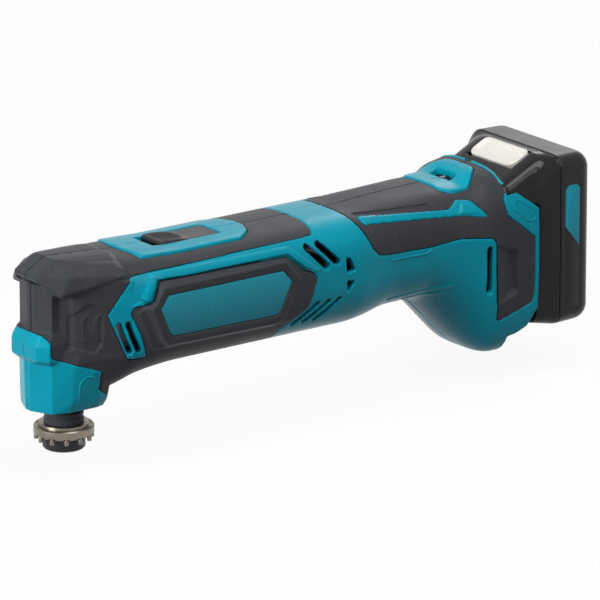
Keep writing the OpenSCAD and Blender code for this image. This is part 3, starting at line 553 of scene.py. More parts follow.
@dataclass(frozen=True)
class BodyForm:
    """The body's lengthwise profiles, as the solids have them, in millimetres.

    The solids draw each section with straight chords; this gives the true curve between them.
    """

    chords: int = 28  # how many chords a section has
    reach: float = 3.0  # length over which the profiles' corners are rounded
    inner: float = 2.6  # depth under the chords to which points move with the skin
    outer: float = 3.2  # height over the chords to which they do
    fade_over: float = 1.2  # length over which the move fades out there
    # Height of the crown, as pairs of X and value, like the profiles that follow
    top: Table = ((-10, 71.6), (0, 72.2), (14, 72), (30, 71.1), (46, 70.2), (134, 70.2), (150, 71.2),
                  (172, 71.8), (188, 71.4), (192, 74.8), (204, 76.6), (222, 76.6))
    # Height of the belly
    low: Table = ((-10, 24), (6, 17.6), (11, 17.2), (16, 18.4), (22, 20.4), (30, 22), (40, 22.9), (46, 23),
                  (128, 23), (136, 23.8), (146, 26), (165, 26.4), (168, 25.4), (187, 6), (194, 0.4),
                  (198, -2), (222, -2.4))
    # Half the width
    half: Table = ((-10, 11.2), (-8, 11.4), (-5.2, 15), (0, 17.8), (10, 20.4), (20, 23.4), (30, 25.6),
                   (44, 27), (128, 27), (138, 25.3), (148, 24.1), (166, 24), (176, 24.4), (188, 26),
                   (195, 27.2), (222, 27.6))
    # Height at which the section is widest
    mid: Table = ((-10, 50), (10, 50), (30, 48), (44, 47.4), (134, 47.4), (150, 49.6), (168, 49.4),
                  (190, 45.4), (222, 45.4))
    # How square the upper half is, 2 for an ellipse
    top_power: Table = ((-10, 3.4), (10, 3.2), (44, 3.2), (134, 3.2), (150, 3), (170, 3), (190, 3.2),
                        (222, 3.6))
    # How square the lower half is
    low_power: Table = ((-10, 4), (10, 3.2), (24, 2.6), (44, 2.4), (166, 2.4), (176, 2.3), (188, 2.6),
                        (197, 3.8), (222, 4.2))
    # Where along X the solids have their sections
    rings: Sequence[float] = (-9, -7.4, -5, -2, 1, 6, 10, 14, 18, 23, 29, 36, 43, 50, 124, 130, 135, 140, 145,
                              150, 157, 163, 166, 170, 177, 184, 188, 190, 193, 197, 203, 218)

    def along(self, table: Table, x: np.ndarray) -> np.ndarray:
        """Reads a profile with its corners rounded.

        Args:
            table: pairs of x and value.
            x: places along the body.

        Returns:
            The profile's values there.
        """
        xs, values = np.array(table, float).T
        steps = ((-1, 1), (-0.5, 2), (0, 2), (0.5, 2), (1, 1))
        total = sum(weight for _, weight in steps)
        return sum(w * np.interp(x + s * self.reach, xs, values) for s, w in steps) / total

    def section(self, x: np.ndarray, up: np.ndarray) -> tuple[np.ndarray, np.ndarray, np.ndarray, np.ndarray]:
        """Sizes of the body's sections.

        Args:
            x: places along the body.
            up: whether the upper half is asked for.

        Returns:
            The height of the widest place, half the width, the height of that half, and its power.
        """
        middle = self.along(self.mid, x)
        tall = np.where(up, self.along(self.top, x) - middle, middle - self.along(self.low, x))
        power = np.where(up, self.along(self.top_power, x), self.along(self.low_power, x))
        return middle, self.along(self.half, x), tall, power

    def true_radius(self, x: np.ndarray, across: np.ndarray, rise: np.ndarray) -> np.ndarray:
        """Distances from the section's middle to the true curve, as chord_radius gives them to the chords."""
        _, wide, tall, power = self.section(x, rise >= 0)
        return ((np.abs(across) / wide) ** power + (np.abs(rise) / tall) ** power) ** (-1 / power)

    def ring_points(self) -> np.ndarray:
        """The solids' section corners.

        Returns:
            An array of ring by corner by Y and Z.
        """
        turn = 2 * np.pi * np.arange(self.chords) / self.chords
        cos, sin = np.cos(turn)[None], np.sin(turn)[None]
        sin[np.abs(sin) < 1e-12] = 0
        middle, wide, tall, power = self.section(np.array(self.rings, float)[:, None], sin >= 0)
        across = wide * np.sign(cos) * np.abs(cos) ** (2 / power)
        return np.stack([across, tall * np.sign(sin) * np.abs(sin) ** (2 / power) + middle], 2)

    def chord_radius(self, x: np.ndarray, across: np.ndarray, rise: np.ndarray) -> np.ndarray:
        """Distance from the section's middle to the solids' chords.

        Args:
            x: places along the body.
            across: the direction's share along Y.
            rise: the direction's share along Z.

        Returns:
            The distances in millimetres.
        """
        corners = self.ring_points()
        rings = np.array(self.rings, float)
        k = np.clip(np.searchsorted(rings, x) - 1, 0, len(rings) - 2)
        share = ((x - rings[k]) / (rings[k + 1] - rings[k]))[:, None, None]
        near, far = corners[k], corners[k + 1]
        straight = near + (far - near) * share
        slanted = np.roll(near, -1, 1) + (far - np.roll(near, -1, 1)) * share
        loop = np.stack([straight, slanted], 2).reshape(len(x), -1, 2)
        loop[:, :, 1] -= self.along(self.mid, x)[:, None]
        side = loop[:, :, 0] * rise[:, None] - loop[:, :, 1] * across[:, None]
        ahead = loop[:, :, 0] * across[:, None] + loop[:, :, 1] * rise[:, None] > 0
        hit = np.argmax((side >= 0) & (np.roll(side, -1, 1) < 0) & ahead, axis=1)
        rows = np.arange(len(x))
        start, edge = loop[rows, hit], np.roll(loop, -1, 1)[rows, hit] - loop[rows, hit]
        return ((start[:, 0] * edge[:, 1] - start[:, 1] * edge[:, 0])
                / (across * edge[:, 1] - rise * edge[:, 0]))

    def round_out(self, points: np.ndarray, lift: float, batch: int = 20000) -> np.ndarray:
        """Moves points near the skin from the chords out to the true curve.

        Args:
            points: vertices in metres.
            lift: how much further out they go, in millimetres.
            batch: how many are worked on at a time.

        Returns:
            The moved vertices in metres.
        """
        moved = points.copy()
        for begin in range(0, len(points), batch):
            x, y, z = (points[begin:begin + batch] / MM).T
            rise = z - self.along(self.mid, x)
            reach = np.maximum(np.hypot(y, rise), 1e-6)
            across, rise = y / reach, rise / reach
            chord = self.chord_radius(x, across, rise)
            depth = chord - reach
            weight = fade(depth, self.inner, -self.fade_over) * fade(depth, -self.outer, self.fade_over)
            weight *= (x > self.rings[0]) & (x < self.rings[-1])
            shift = (self.true_radius(x, across, rise) - chord + lift) * weight * MM
            moved[begin:begin + batch, 1] += across * shift
            moved[begin:begin + batch, 2] += rise * shift
        return moved


@dataclass
class Shells:
    """The two housing halves and their four rubber grips."""

    voxel: float = 0.42  # grid that the solids are remade on, in millimetres, which also rounds their edges
    passes: int = 3  # how often the grid's ripple is smoothed
    seam: float = 0.24  # how far the rubber keeps back from the nylon all round, in millimetres
    most: int = 190000  # triangles that one piece may have
    form: BodyForm = field(default_factory=BodyForm)  # the body's true curve
    # The material slot of each half's nodes, by the start of their names
    slots: Sequence[tuple[str, str]] = (("housing", "teal_plastic"), ("front_grip", "grip_rubber"),
                                        ("rear_grip", "grip_rubber"))
    pieces: dict[str, Piece] = field(default_factory=dict)  # the finished mouldings by node

    def remade(self, node: str, name: str, voxel: float, passes: int, curved: bool = False,
               shrink: float = 0.0) -> Piece:
        """Remakes one solid with rounded edges and true curves.

        Args:
            node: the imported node.
            name: the new piece's name.
            voxel: the grid in millimetres.
            passes: how often the ripple is smoothed.
            curved: whether the body's true curve is laid on it.
            shrink: how far its skin goes inwards, in millimetres.

        Returns:
            The new object.
        """
        piece = finer_copy(node, name)
        apply_modifier(piece, "REMESH", mode="VOXEL", voxel_size=voxel * MM)
        if shrink:
            apply_modifier(piece, "DISPLACE", strength=-shrink * MM, mid_level=0.0)
        if curved:
            set_points(piece, self.form.round_out(points_of(piece), shrink))
        apply_modifier(piece, "SMOOTH", factor=0.5, iterations=passes)
        count = sum(len(face.vertices) - 2 for face in piece.data.polygons)
        if count > self.most:
            apply_modifier(piece, "DECIMATE", ratio=self.most / count)
        heal(piece)
        smooth(piece, angle=60)
        return piece

    def build(self) -> None:
        """Makes the six pieces and hands them in."""
        for side in Side:
            for stem, slot in self.slots:
                node = f"{stem}_{side.word}"
                shrink = self.seam if slot == "grip_rubber" else 0.0
                piece = self.remade(node, f"{node}_moulding", self.voxel, self.passes, True, shrink)
                self.pieces[node] = hand_in(piece, "housing", slot, replaced=[node])


@dataclass
class SideTrim:
    """Thin moulded details that lie on both sides of the body."""

    # The rail over the name frame and the teal stripe in the rear grip, with the lower and upper edge as X
    # and Z, and the rise
    strips: Sequence[tuple[str, Table, Table, float]] = (
        ("frame_rail", ((24.0, 55.0), (28.1, 63.0), (91.0, 62.6), (98.6, 56.0), (100.6, 55.2)),
         ((20.8, 56.4), (25.9, 64.5), (92.0, 64.5), (101.8, 57.2), (102.6, 56.4)), 0.7),
        ("grip_stripe",
         ((132.3, 65.8), (159.9, 63.5), (174.6, 62.2), (178.6, 61.9), (183.2, 61.3), (191.6, 59.9)),
         ((131.5, 68.5), (160.9, 66.1), (174.7, 64.9), (180.2, 67.6), (186.3, 66.8), (191.8, 60.3)), 0.35))
    strip_cuts: Sequence[int] = (7, 2)  # how often each field of a strip is cut, so that it follows the skin
    strip_root: float = 1.2  # how deep the strips go under the skin
    strip_voxel: float = 0.2  # grid that rounds their edges
    strip_passes: int = 3  # how often the grid's ripple is smoothed
    # Beads over the stripe, round the chin's blank badge, under the rear grip and on the rear panel, with
    # the moulding that each lies on, its corners as X and Z, and its radius
    lines: Sequence[tuple[str, str, Table, float]] = (
        ("inset_line", "rear_grip", ((131.4, 69.3), (166.4, 68.3), (169.2, 65.8)), 0.26),
        ("chin_badge", "housing", ((-3.2, 14.8), (-3.2, 23.2), (-2.2, 25.4), (-0.4, 26.9), (1.8, 26.9),
                                   (3.4, 25.4), (4.3, 23.2), (4.3, 14.8)), 0.28),
        ("grip_ledge", "housing", ((143.2, 50.4), (161.4, 49.8), (163.8, 51.0)), 0.4),
        ("panel_line", "housing", ((204.6, 64.0), (207.0, 64.8), (215.2, 59.2), (215.2, 56.6), (213.4, 55.0),
                                   (209.6, 56.4), (204.4, 61.4), (204.6, 64.0)), 0.26))
    # Edge of the housing behind the rear grip, on the near side
    rim: Sequence[Point] = ((201.6, -2.0, 76.1), (201.6, -5.1, 76.0), (201.6, -10.4, 75.7),
                            (201.6, -15.6, 74.4), (201.6, -20.2, 71.9), (202.2, -21.4, 71.0))
    rim_r: float = 0.7  # radius of the bead along it
    # Beads on the rubber of the head, as X and Z
    marks: Sequence[Table] = (((-1.6, 51.0), (-2.9, 48.6), (-2.9, 44.4), (-1.6, 42.0)),
                              ((3.6, 51.2), (2.3, 48.8), (2.3, 44.2), (3.6, 41.8)))
    mark_r: float = 0.3  # their radius
    outside: float = 60.0  # how far beside the tool the search for its skin starts
    opening_y: float = 20.0  # half width that is taken where the skin has an opening

    def on_skin(self, tree: BVHTree, side: Side, x: float, z: float) -> Vector:
        """Finds the skin at a place seen square from the side.

        Args:
            tree: the search tree of the moulding that carries the detail.
            side: which half.
            x: place along the body in millimetres.
            z: height in millimetres.

        Returns:
            The point on the skin in metres.
        """
        start = Vector((x, side.value * self.outside, z)) * MM
        hit = tree.ray_cast(start, Vector((0, -side.value, 0)))[0]
        return hit if hit is not None else Vector((x, side.value * self.opening_y, z)) * MM

    def path(self, tree: BVHTree, side: Side, table: Table, step: float = 0.7) -> list[Vector]:
        """Lays a broken line on the skin in short steps.

        Args:
            tree: the search tree of the moulding.
            side: which half.
            table: the line's corners, as X and Z.
            step: longest step in millimetres.

        Returns:
            Points on the skin in metres.
        """
        points = [self.on_skin(tree, side, *table[0])]
        for (x1, z1), (x2, z2) in zip(table, table[1:]):
            count = max(1, math.ceil(math.hypot(x2 - x1, z2 - z1) / step))
            points += [self.on_skin(tree, side, x1 + (x2 - x1) * k / count, z1 + (z2 - z1) * k / count)
                       for k in range(1, count + 1)]
        return points

    def strip(self, tree: BVHTree, side: Side, name: str, lower: Table, upper: Table, rise: float) -> Piece:
        """Lays a strip on the skin and gives it a wall with round edges.

        Args:
            tree: the search tree of the moulding that carries it.
            side: which half.
            name: the strip's name, without the side.
            lower: its lower edge, as X and Z.
            upper: its upper edge, with as many corners.
            rise: how far it stands out, in millimetres.

        Returns:
            The strip.
        """
        piece = added(bpy.ops.mesh.primitive_grid_add, x_subdivisions=len(lower) - 1, y_subdivisions=1)
        piece.name = piece.data.name = f"{name}_{side.word}"
        set_points(piece, np.array([(x, 0.0, z) for x, z in (*lower, *upper)]) * MM)
        with editing(piece):
            for cuts in self.strip_cuts:
                bpy.ops.mesh.subdivide(number_cuts=cuts)
        flat = points_of(piece) / MM
        set_points(piece, np.array([self.on_skin(tree, side, x, z) for x, _, z in flat]))
        if piece.data.polygons[0].normal.y * side.value < 0:
            piece.data.flip_normals()
        wall = rise + self.strip_root
        apply_modifier(piece, "SOLIDIFY", thickness=wall * MM, offset=2 * rise / wall - 1)
        apply_modifier(piece, "REMESH", mode="VOXEL", voxel_size=self.strip_voxel * MM)
        apply_modifier(piece, "SMOOTH", factor=0.5, iterations=self.strip_passes)
        heal(piece)
        smooth(piece, angle=60)
        return piece

    def build(self, shells: Shells) -> None:
        """Lays all the trim on both halves.

        Args:
            shells: the finished mouldings.
        """
        slots = dict(shells.slots)
        for side in Side:
            graph = bpy.context.evaluated_depsgraph_get()
            skins = {stem: BVHTree.FromObject(shells.pieces[f"{stem}_{side.word}"], graph) for stem in slots}
            for row in self.strips:
                hand_in(self.strip(skins["housing"], side, *row), "housing", "teal_plastic")
            for name, carrier, corners, radius in self.lines:
                points = self.path(skins[carrier], side, corners)
                hand_in(bead(f"{name}_{side.word}", points, radius), "housing", slots[carrier])
            edge = [Vector((x, -side.value * y, z)) * MM for x, y, z in self.rim]
            hand_in(bead(f"rear_rim_{side.word}", edge, self.rim_r), "housing", "teal_plastic")
            for k, mark in enumerate(self.marks):
                points = self.path(skins["front_grip"], side, mark)
                hand_in(bead(f"head_mark_{side.word}_{k}", points, self.mark_r), "housing", "grip_rubber")


@dataclass
class AccessorySeat:
    """The nickel flange with its ring of pins, the boot above it and the clamp cap below."""

    pins: int = 12  # how many pins there are
    notch_r: float = 1.15  # radius of the scallop that the rim has at each pin
    notch_at: float = 11.9  # distance of the scallop from the spindle axis
    notch_top: float = 0.75  # height that the scallops reach
    notch_h: float = 4.0  # height of the cutter
    rim_edge: float = 0.12  # width of the flange's broken edges
    # Node, body, slot and width of the broken edges of the other pieces
    edges: Sequence[tuple[str, str, str, float]] = (
        ("flange_pins", "spindle", "flange_nickel", 0.3), ("spindle_boot", "spindle", "grip_rubber", 0.18),
        ("clamp_cap", "clamp", "black_steel", 0.3), ("clamp_bolt", "bolt", "black_steel", 0.2))

    def scallops(self) -> Piece:
        """Makes one round cutter and spins copies of it round the flange.

        Returns:
            The ring of cutters.
        """
        place = Vector((self.notch_at, 0, self.notch_top - self.notch_h / 2)) * MM
        cutter = added(bpy.ops.mesh.primitive_cylinder_add, vertices=32, radius=self.notch_r * MM,
                       depth=self.notch_h * MM, location=place)
        bpy.ops.object.transform_apply(location=True, rotation=True, scale=True)
        with editing(cutter):
            bpy.ops.mesh.spin(steps=self.pins, dupli=True, angle=2 * math.pi, center=(0, 0, 0),
                              axis=(0, 0, 1))
            bpy.ops.mesh.select_all(action="SELECT")
            bpy.ops.mesh.remove_doubles(threshold=0.01 * MM)
            bpy.ops.mesh.delete_loose()
            bpy.ops.mesh.select_all(action="SELECT")
            bpy.ops.mesh.normals_make_consistent(inside=False)
        return cutter

    def flange(self) -> Piece:
        """Cuts the scallops into the flange and breaks its edges.

        Returns:
            The flange.
        """
        piece = finer_copy("tool_flange", "scalloped_flange")
        carve(piece, self.scallops())
        break_edges(piece, self.rim_edge, segments=2, angle=40)
        smooth(piece, angle=35)
        return piece

    def build(self) -> None:
        """Makes the seat's pieces and hands them in."""
        hand_in(self.flange(), "spindle", "flange_nickel", replaced=["tool_flange"])
        for node, body, slot, width in self.edges:
            piece = bevelled(node, f"{node}_finished", width, segments=3)
            hand_in(piece, body, slot, replaced=[node])


@dataclass
class Controls:
    """The slide switch's thumb piece and the speed dial with its numbers."""

    slide_x: tuple[float, float] = (43.0, 71.4)  # front and rear of the thumb piece
    slide_hw: float = 6.6  # half its width
    slide_z: float = 70.5  # its top at the rear
    slide_low: float = 1.6  # how far its walls go down
    foot_cut: float = 0.6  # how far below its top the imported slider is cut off
    grid: tuple[int, int] = (150, 66)  # fields of the thumb piece's grid along and across
    lip: float = 1.7  # how much higher its front is
    lip_l: float = 15.5  # length over which that runs out
    lip_power: float = 1.4  # how steeply it does
    skin: float = 0.12  # how far its flat rear lies over slide_z
    hollow: float = 11.2  # mean length of the thumb hollow
    hollow_bow: float = 1.8  # how far its rear end bows back in the middle, and forwards at its sides
    hollow_rim: float = 0.9  # width of the flat in front of it
    # Share of the half width at which it ends, and over which its sides go down
    hollow_side: tuple[float, float] = (0.9, -0.1)
    hollow_depth: float = 1.0  # depth of the hollow
    hollow_wall: float = 0.7  # length over which its ends go down
    rib_h: float = 0.75  # height of the ribs in it
    rib_pitch: float = 1.75  # distance from rib to rib
    rib_bow: float = 0.028  # how much the ribs bow, for each square millimetre across
    edge_r: float = 0.5  # width of the round edge
    edge_drop: float = 0.45  # how far that edge goes down
    dial: Point = (188.4, 0.0, 60.8)  # middle of the speed dial
    dial_edge: float = 0.12  # width of its broken edges
    dial_r: float = 11.02  # radius that the numbers lie on
    digits: int = 5  # how many numbers there are
    digit_h: float = 3.0  # their size
    digit_t: float = 0.12  # their thickness
    digit_step: float = 62.5  # angle from one to the next in degrees

    def thumb_height(self, x: np.ndarray, y: np.ndarray) -> np.ndarray:
        """Height of the thumb piece over its rear end.

        Args:
            x: places behind its front in millimetres.
            y: places across it.

        Returns:
            Heights in millimetres.
        """
        across = np.abs(y) / self.slide_hw
        ramp = np.clip(1 - x / self.lip_l, 0, 1)
        crown = self.lip * ramp ** self.lip_power * (3 - 2 * ramp) / self.lip_power
        rear = self.hollow + self.hollow_bow * (1 - 2 * across ** 2)
        inside = (fade(x, self.hollow_rim, self.hollow_wall) * fade(x, rear, -self.hollow_wall)
                  * fade(across, *self.hollow_side))
        ribs = 0.5 + 0.5 * np.cos(2 * np.pi * (x + self.rib_bow * y * y) / self.rib_pitch)
        length = self.slide_x[1] - self.slide_x[0]
        edge = np.minimum(np.minimum(x, length - x), self.slide_hw - np.abs(y))
        round_off = self.edge_drop * np.clip(1 - edge / self.edge_r, 0, 1) ** 2
        return crown + self.skin - inside * (self.hollow_depth - self.rib_h * ribs) - round_off

    def thumb(self) -> Piece:
        """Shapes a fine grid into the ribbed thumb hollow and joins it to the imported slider's foot.

        Returns:
            The whole slider.
        """
        front, rear = self.slide_x
        top = added(bpy.ops.mesh.primitive_grid_add, x_subdivisions=self.grid[0], y_subdivisions=self.grid[1],
                    size=2 * MM)
        with editing(top):
            bpy.ops.mesh.extrude_region_move(TRANSFORM_OT_translate={"value": (0, 0, -MM)})
        points = points_of(top) / MM
        x = (points[:, 0] + 1) / 2 * (rear - front)
        y = points[:, 1] * self.slide_hw
        low = points[:, 2] < -0.5
        z = self.slide_z + np.where(low, -self.slide_low, self.thumb_height(x, y))
        set_points(top, np.stack([x + front, y, z], 1) * MM)
        with editing(top):
            bpy.ops.mesh.normals_make_consistent(inside=False)
        foot = finer_copy("switch_slider", "slide_switch_thumb")
        cut_off(foot, (0.0, 0.0, self.slide_z - self.foot_cut), (0.0, 0.0, 1.0))
        whole = joined([foot, top])
        smooth(whole, angle=40)
        return whole

    def numbers(self) -> Piece:
        """Sets plain numbers round the dial's rim.

        Returns:
            The numbers as one mesh.
        """
        digits = []
        to_dial = Matrix.Translation(Vector(self.dial) * MM)
        lift = Matrix.Translation(Vector((0, 0, self.dial_r * MM)))
        upright = Matrix.Rotation(math.radians(-90), 4, "Z")
        for k in range(self.digits):
            digit = added(bpy.ops.object.text_add)
            digit.data.body = str(k + 1)
            digit.data.size = self.digit_h * MM
            digit.data.extrude = self.digit_t * MM
            digit.data.align_x = digit.data.align_y = "CENTER"
            bpy.ops.object.convert(target="MESH")
            angle = self.digit_step * (k - (self.digits - 1) / 2)
            turn = Matrix.Rotation(math.radians(angle), 4, "X")
            digit.data.transform(to_dial @ turn @ lift @ upright)
            digits.append(digit)
        whole = joined(digits)
        whole.name = whole.data.name = "dial_numbers"
        return whole

    def build(self) -> None:
        """Makes the controls and hands them in."""
        hand_in(self.thumb(), "switch", "black_plastic", THUMB_BLACK, ["switch_slider"])
        dial = bevelled("speed_dial", "knurled_dial", self.dial_edge)
        hand_in(dial, "dial", "black_plastic", replaced=["speed_dial"])
        hand_in(self.numbers(), "dial", "button_white", WHITE_INK)


@dataclass
class Badges:
    """The blank name plates."""

    voxel: float = 0.28  # grid that they are remade on, in millimetres, which rounds their edges
    passes: int = 6  # how often the grid's ripple is smoothed

    def build(self, shells: Shells) -> None:
        """Makes both plates and hands them in.

        Args:
            shells: the maker of remade mouldings.
        """
        for side in Side:
            node = f"name_plate_{side.word}"
            plate = shells.remade(node, f"{node}_blank", self.voxel, self.passes)
            # The plate_teal finish paints shade on the plates' lower part, darker towards the bottom
            hand_in(plate, "housing", "plate_teal", replaced=[node])


@dataclass
class BatteryPack:
    """The slide-on battery: two shells, a blank label on each side and the release button."""

    voxel: float = 0.5  # grid of the shells in millimetres
    passes: int = 4  # how often their ripple is smoothed
    melt: int = 110  # how often the shoulders beside the button are smoothed
    # Where across the pack the shoulders start, and the length over which they fade in
    shoulder_y: tuple[float, float] = (15.4, 2.5)
    shoulder_z: tuple[float, float] = (48.0, 10.0)  # the same for their height
    shoulder_x: tuple[float, float] = (203.4, 1.5)  # the same for their front
    shoulder_end: tuple[float, float] = (226.2, -1.2)  # the same for their rear, backwards
    slope: float = 26.105  # angle of the button's face in degrees
    button_at: Point = (217.2, 0.0, 77.052)  # middle of that face
    button_l: float = 5.8  # half its length down the slope
    button_hw: float = 14.0  # half its width
    button_rise: float = 0.5  # how far it stands over the slope
    wall: float = 2.7  # how far its rounded walls go down below the slope
    lap: float = 0.1  # how far its packed foot reaches into those walls
    corner: tuple[float, float] = (4.4, 2.6)  # radii of its lower and upper corners
    edge: float = 0.28  # width of its broken edges
    # X behind which and Z below which it is cut away, to clear the cells when it is pressed
    step: tuple[float, float] = (221.7, 78.4)
    block: float = 40.0  # side of the block that cuts this step
    brim: Table = ((0.3, 0.2), (0.7, 0.04))  # inset and rise of the steps round the finger dish
    dish_wall: float = 1.45  # inset from the brim to the bottom of the dish
    dish: float = 1.0  # depth of the dish
    label_edge: float = 0.12  # width of the labels' broken edges

    def soften(self, piece: Piece) -> None:
        """Melts the shoulders beside the button into the long curve that they have.

        Args:
            piece: the front shell.
        """
        x, y, z = (points_of(piece) / MM).T
        weight = (fade(np.abs(y), *self.shoulder_y) * fade(z, *self.shoulder_z)
                  * fade(x, *self.shoulder_end) * fade(x, *self.shoulder_x))
        group = piece.vertex_groups.new(name="shoulder")
        for k in np.flatnonzero(weight):
            group.add([int(k)], float(weight[k]), "REPLACE")
        apply_modifier(piece, "SMOOTH", factor=0.5, iterations=self.melt, vertex_group="shoulder")
        piece.vertex_groups.clear()

    def round_corners(self, plate: Piece) -> None:
        """Rounds the four corners of the button's plate.

        Args:
            plate: a flat plate in the button's own axes.
        """
        for end, radius in zip((-self.button_l, self.button_l), self.corner):
            with editing(plate):
                bpy.ops.mesh.select_mode(type="VERT")
                bpy.ops.mesh.select_all(action="DESELECT")
            x, y, _ = (points_of(plate) / MM).T
            corners = np.isclose(x, end, atol=0.001) & np.isclose(np.abs(y), self.button_hw, atol=0.001)
            plate.data.vertices.foreach_set("select", corners.tolist())
            with editing(plate, every=False):
                bpy.ops.mesh.bevel(offset=radius * MM, segments=8, affect="VERTICES", offset_type="OFFSET")

    def button_cap(self) -> Piece:
        """Gives a round cornered plate its depth, presses a dish into it and cuts its step.

        Returns:
            The button's cap.
        """
        cap = added(bpy.ops.mesh.primitive_plane_add, size=2 * MM)
        size = np.array([self.button_l, self.button_hw, 1.0])
        set_points(cap, points_of(cap) * size - np.array([0, 0, self.wall * MM]))
        self.round_corners(cap)
        with editing(cap):
            bpy.ops.mesh.select_mode(type="FACE")
            bpy.ops.mesh.select_all(action="SELECT")
            height = (self.button_rise + self.wall) * MM
            bpy.ops.mesh.extrude_region_move(TRANSFORM_OT_translate={"value": (0, 0, height)})
            for width, rise in (*self.brim, (self.dish_wall, -self.dish)):
                bpy.ops.mesh.inset(thickness=width * MM)
                bpy.ops.transform.translate(value=(0, 0, rise * MM))
        break_edges(cap, self.edge, segments=3, angle=20)
        tilt = Matrix.Rotation(math.radians(-self.slope), 4, "Y")
        cap.data.transform(Matrix.Translation(Vector(self.button_at) * MM) @ tilt)
        x, z = self.step
        place = Vector((x + self.block / 2, 0, z - self.block / 2)) * MM
        carve(cap, added(bpy.ops.mesh.primitive_cube_add, size=self.block * MM, location=place))
        return cap

    def button_foot(self) -> Piece:
        """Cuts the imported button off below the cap's walls.

        Returns:
            What is left of it, with the hook.
        """
        foot = finer_copy("battery_button", "release_button")
        angle = math.radians(self.slope)
        normal = Vector((-math.sin(angle), 0, math.cos(angle)))
        cut_off(foot, Vector(self.button_at) - normal * (self.wall - self.lap), normal)
        return foot

    def build(self, shells: Shells) -> None:
        """Makes the shells, labels and button and hands them in.

        Args:
            shells: the maker of remade mouldings.
        """
        for node, finish in (("battery_front", GLOSS_BLACK), ("battery_rear", None)):
            piece = shells.remade(node, f"{node}_moulding", self.voxel, self.passes)
            if finish:
                self.soften(piece)
            hand_in(piece, "battery", "black_plastic", finish, [node])
        labels = bevelled("battery_labels", "blank_labels", self.label_edge)
        hand_in(labels, "battery", "plate_teal", LABEL, ["battery_labels"])
        button = joined([self.button_foot(), self.button_cap()])
        heal(button)
        smooth(button, angle=30)
        hand_in(button, "button", "button_white", replaced=["battery_button"])


@dataclass
class Fasteners:
    """The shell screws."""

    edge: float = 0.15  # width of their broken edges

    def build(self) -> None:
        """Makes the screws and hands them in."""
        screws = bevelled("housing_screws", "shell_screws", self.edge)
        hand_in(screws, "housing", "black_steel", replaced=["housing_screws"])


def dress_nodes() -> None:
    """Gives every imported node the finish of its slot, since those without a finer piece stay in sight."""
    for row in frame["record"]["subparts"]:
        node = frame["nodes"][row["node"]]
        finish = FINISHES[row["material_slot"]]
        node.data.materials.clear()
        node.data.materials.append(finish.material())
        LOG.info("%s is a solid in %s", row["node"], finish.name)


# Camera, floor and light

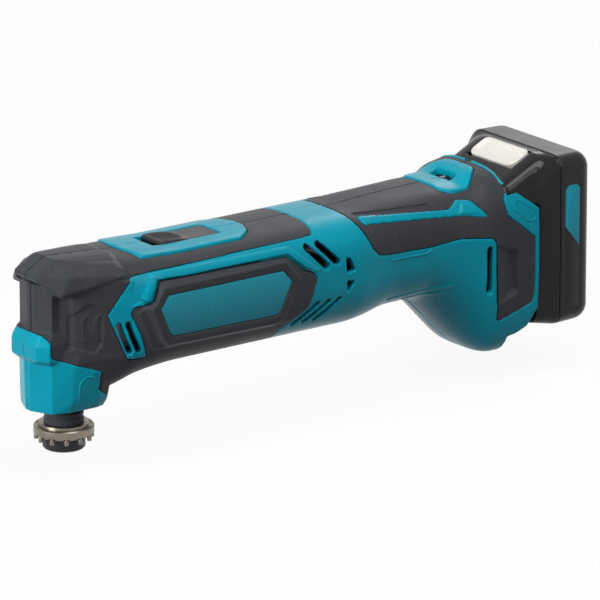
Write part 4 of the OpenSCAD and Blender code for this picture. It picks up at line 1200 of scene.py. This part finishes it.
@dataclass(frozen=True)
class Studio:
    """A white table, soft boxes and a long lens."""

    azimuth: float = -37.0  # camera's turn round Z in degrees
    elevation: float = 17.0  # camera's height above the horizon in degrees
    lens: float = 420.0  # focal length for a sensor of sensor_w
    sensor_w: float = 36.0  # width of the sensor
    clip: tuple[float, float] = (0.1, 20.0)  # nearest and farthest distance that the camera sees, in metres
    distance: float = 2745.8  # from the picture's middle
    # The point that the picture's middle shows, along the camera's right and up
    middle: tuple[float, float] = (92.611, 51.856)
    floor_side: float = 12.0  # side of the table in metres
    floor_z: float = -17.0  # height of the table
    floor_tilt: float = 1.0  # its slant towards the rear in degrees
    # How bright the table is as light, and where it is looked at
    floor_tone: tuple[float, float] = (0.18, 0.95)
    floor_glow: float = 0.93  # share of pure white in it where it is looked at
    room_tone: tuple[float, float] = (0.1, 1.0)  # how bright the room is as light, and where it is looked at
    aim: Point = (0.11, 0.0, 0.04)  # the point that the soft boxes face, in metres
    # Name, place in metres, side in metres and watts of each soft box
    boxes: Sequence[tuple[str, Point, float, float]] = (
        ("top_box", (0.08, -0.3, 0.88), 0.5, 4.8), ("front_box", (-1.0, 0.04, 0.27), 0.42, 10.0),
        ("near_box", (0.3, -0.95, 0.75), 0.5, 2.3), ("back_box", (0.9, 0.6, 0.6), 0.4, 1.6))

    def directions(self) -> tuple[Vector, Vector, Vector]:
        """The camera's right, up and back."""
        a, e = math.radians(self.azimuth), math.radians(self.elevation)
        back = Vector((math.sin(a) * math.cos(e), -math.cos(a) * math.cos(e), math.sin(e)))
        right = Vector((math.cos(a), math.sin(a), 0))
        return right, back.cross(right), back

    def camera(self) -> None:
        """Puts the camera at the photograph's angle."""
        right, up, back = self.directions()
        data = bpy.data.cameras.new("long_lens")
        data.lens, data.sensor_width = self.lens, self.sensor_w
        data.clip_start, data.clip_end = self.clip
        camera = linked("long_lens", data)
        camera.location = (right * self.middle[0] + up * self.middle[1] + back * self.distance) * MM
        camera.rotation_mode = "QUATERNION"
        camera.rotation_quaternion = (-back).to_track_quat("-Z", "Y")
        bpy.context.scene.camera = camera

    def soft_box(self, name: str, place: Point, size: float, power: float) -> None:
        """Hangs one square soft box, turned to the tool's middle.

        Args:
            name: the lamp's name.
            place: where it hangs, in metres.
            size: side of the square in metres.
            power: watts.
        """
        data = bpy.data.lights.new(name, "AREA")
        data.size, data.energy = size, power
        lamp = linked(name, data)
        lamp.location = place
        lamp.rotation_mode = "QUATERNION"
        lamp.rotation_quaternion = (Vector(self.aim) - Vector(place)).to_track_quat("-Z", "Y")

    def whiteness(self, tree: Tree, tones: tuple[float, float]) -> Socket:
        """Makes a surface brighter where the camera, a mirror or a lens looks at it.

        Args:
            tree: the floor's or world's node tree.
            tones: how bright it is as light, and where it is looked at.

        Returns:
            The socket with the brightness.
        """
        rays = add_node(tree, "ShaderNodeLightPath").outputs
        shiny = add_node(tree, "ShaderNodeMath", {0: rays["Is Glossy Ray"], 1: rays["Is Transmission Ray"]},
                         operation="MAXIMUM")
        seen = add_node(tree, "ShaderNodeMath", {0: rays["Is Camera Ray"], 1: shiny.outputs[0]},
                        operation="MAXIMUM")
        tone = {"Value": seen.outputs[0], "To Min": tones[0], "To Max": tones[1]}
        return add_node(tree, "ShaderNodeMapRange", tone).outputs["Result"]

    def floor(self) -> None:
        """Lays the white table, which keeps a soft shadow."""
        table = added(bpy.ops.mesh.primitive_plane_add, size=self.floor_side,
                      location=(0, 0, self.floor_z * MM), rotation=(0, -math.radians(self.floor_tilt), 0))
        table.name = "white_table"
        material = bpy.data.materials.new("white_laminate")
        tree = empty_tree(material)
        matt = add_node(tree, "ShaderNodeBsdfDiffuse", {"Color": self.whiteness(tree, self.floor_tone)})
        glow = add_node(tree, "ShaderNodeEmission", {"Color": (1, 1, 1, 1), "Strength": 1.0})
        share = self.whiteness(tree, (0.0, self.floor_glow))
        mix = add_node(tree, "ShaderNodeMixShader", {0: share, 1: matt.outputs[0], 2: glow.outputs[0]})
        add_node(tree, "ShaderNodeOutputMaterial", {"Surface": mix.outputs[0]})
        table.data.materials.append(material)

    def world(self) -> None:
        """A white room: bright where it is looked at, dimmer as light."""
        world = bpy.data.worlds.new("white_room")
        bpy.context.scene.world = world
        tree = empty_tree(world)
        glow = add_node(tree, "ShaderNodeBackground", {
            "Color": (1, 1, 1, 1), "Strength": self.whiteness(tree, self.room_tone)})
        add_node(tree, "ShaderNodeOutputWorld", {"Surface": glow.outputs[0]})

    def build(self) -> None:
        """Sets up the camera, the table and the light."""
        self.camera()
        self.floor()
        self.world()
        for box in self.boxes:
            self.soft_box(*box)
        bpy.context.scene.view_settings.view_transform = "Standard"


def main() -> None:
    """Builds the tool and its studio."""
    logging.basicConfig(level=logging.INFO, format="%(name)s: %(message)s")
    dress_nodes()
    shells = Shells()
    shells.build()
    SideTrim().build(shells)
    AccessorySeat().build()
    Controls().build()
    Badges().build(shells)
    Fasteners().build()
    BatteryPack().build(shells)
    Studio().build()


if __name__ == "__main__":
    main()
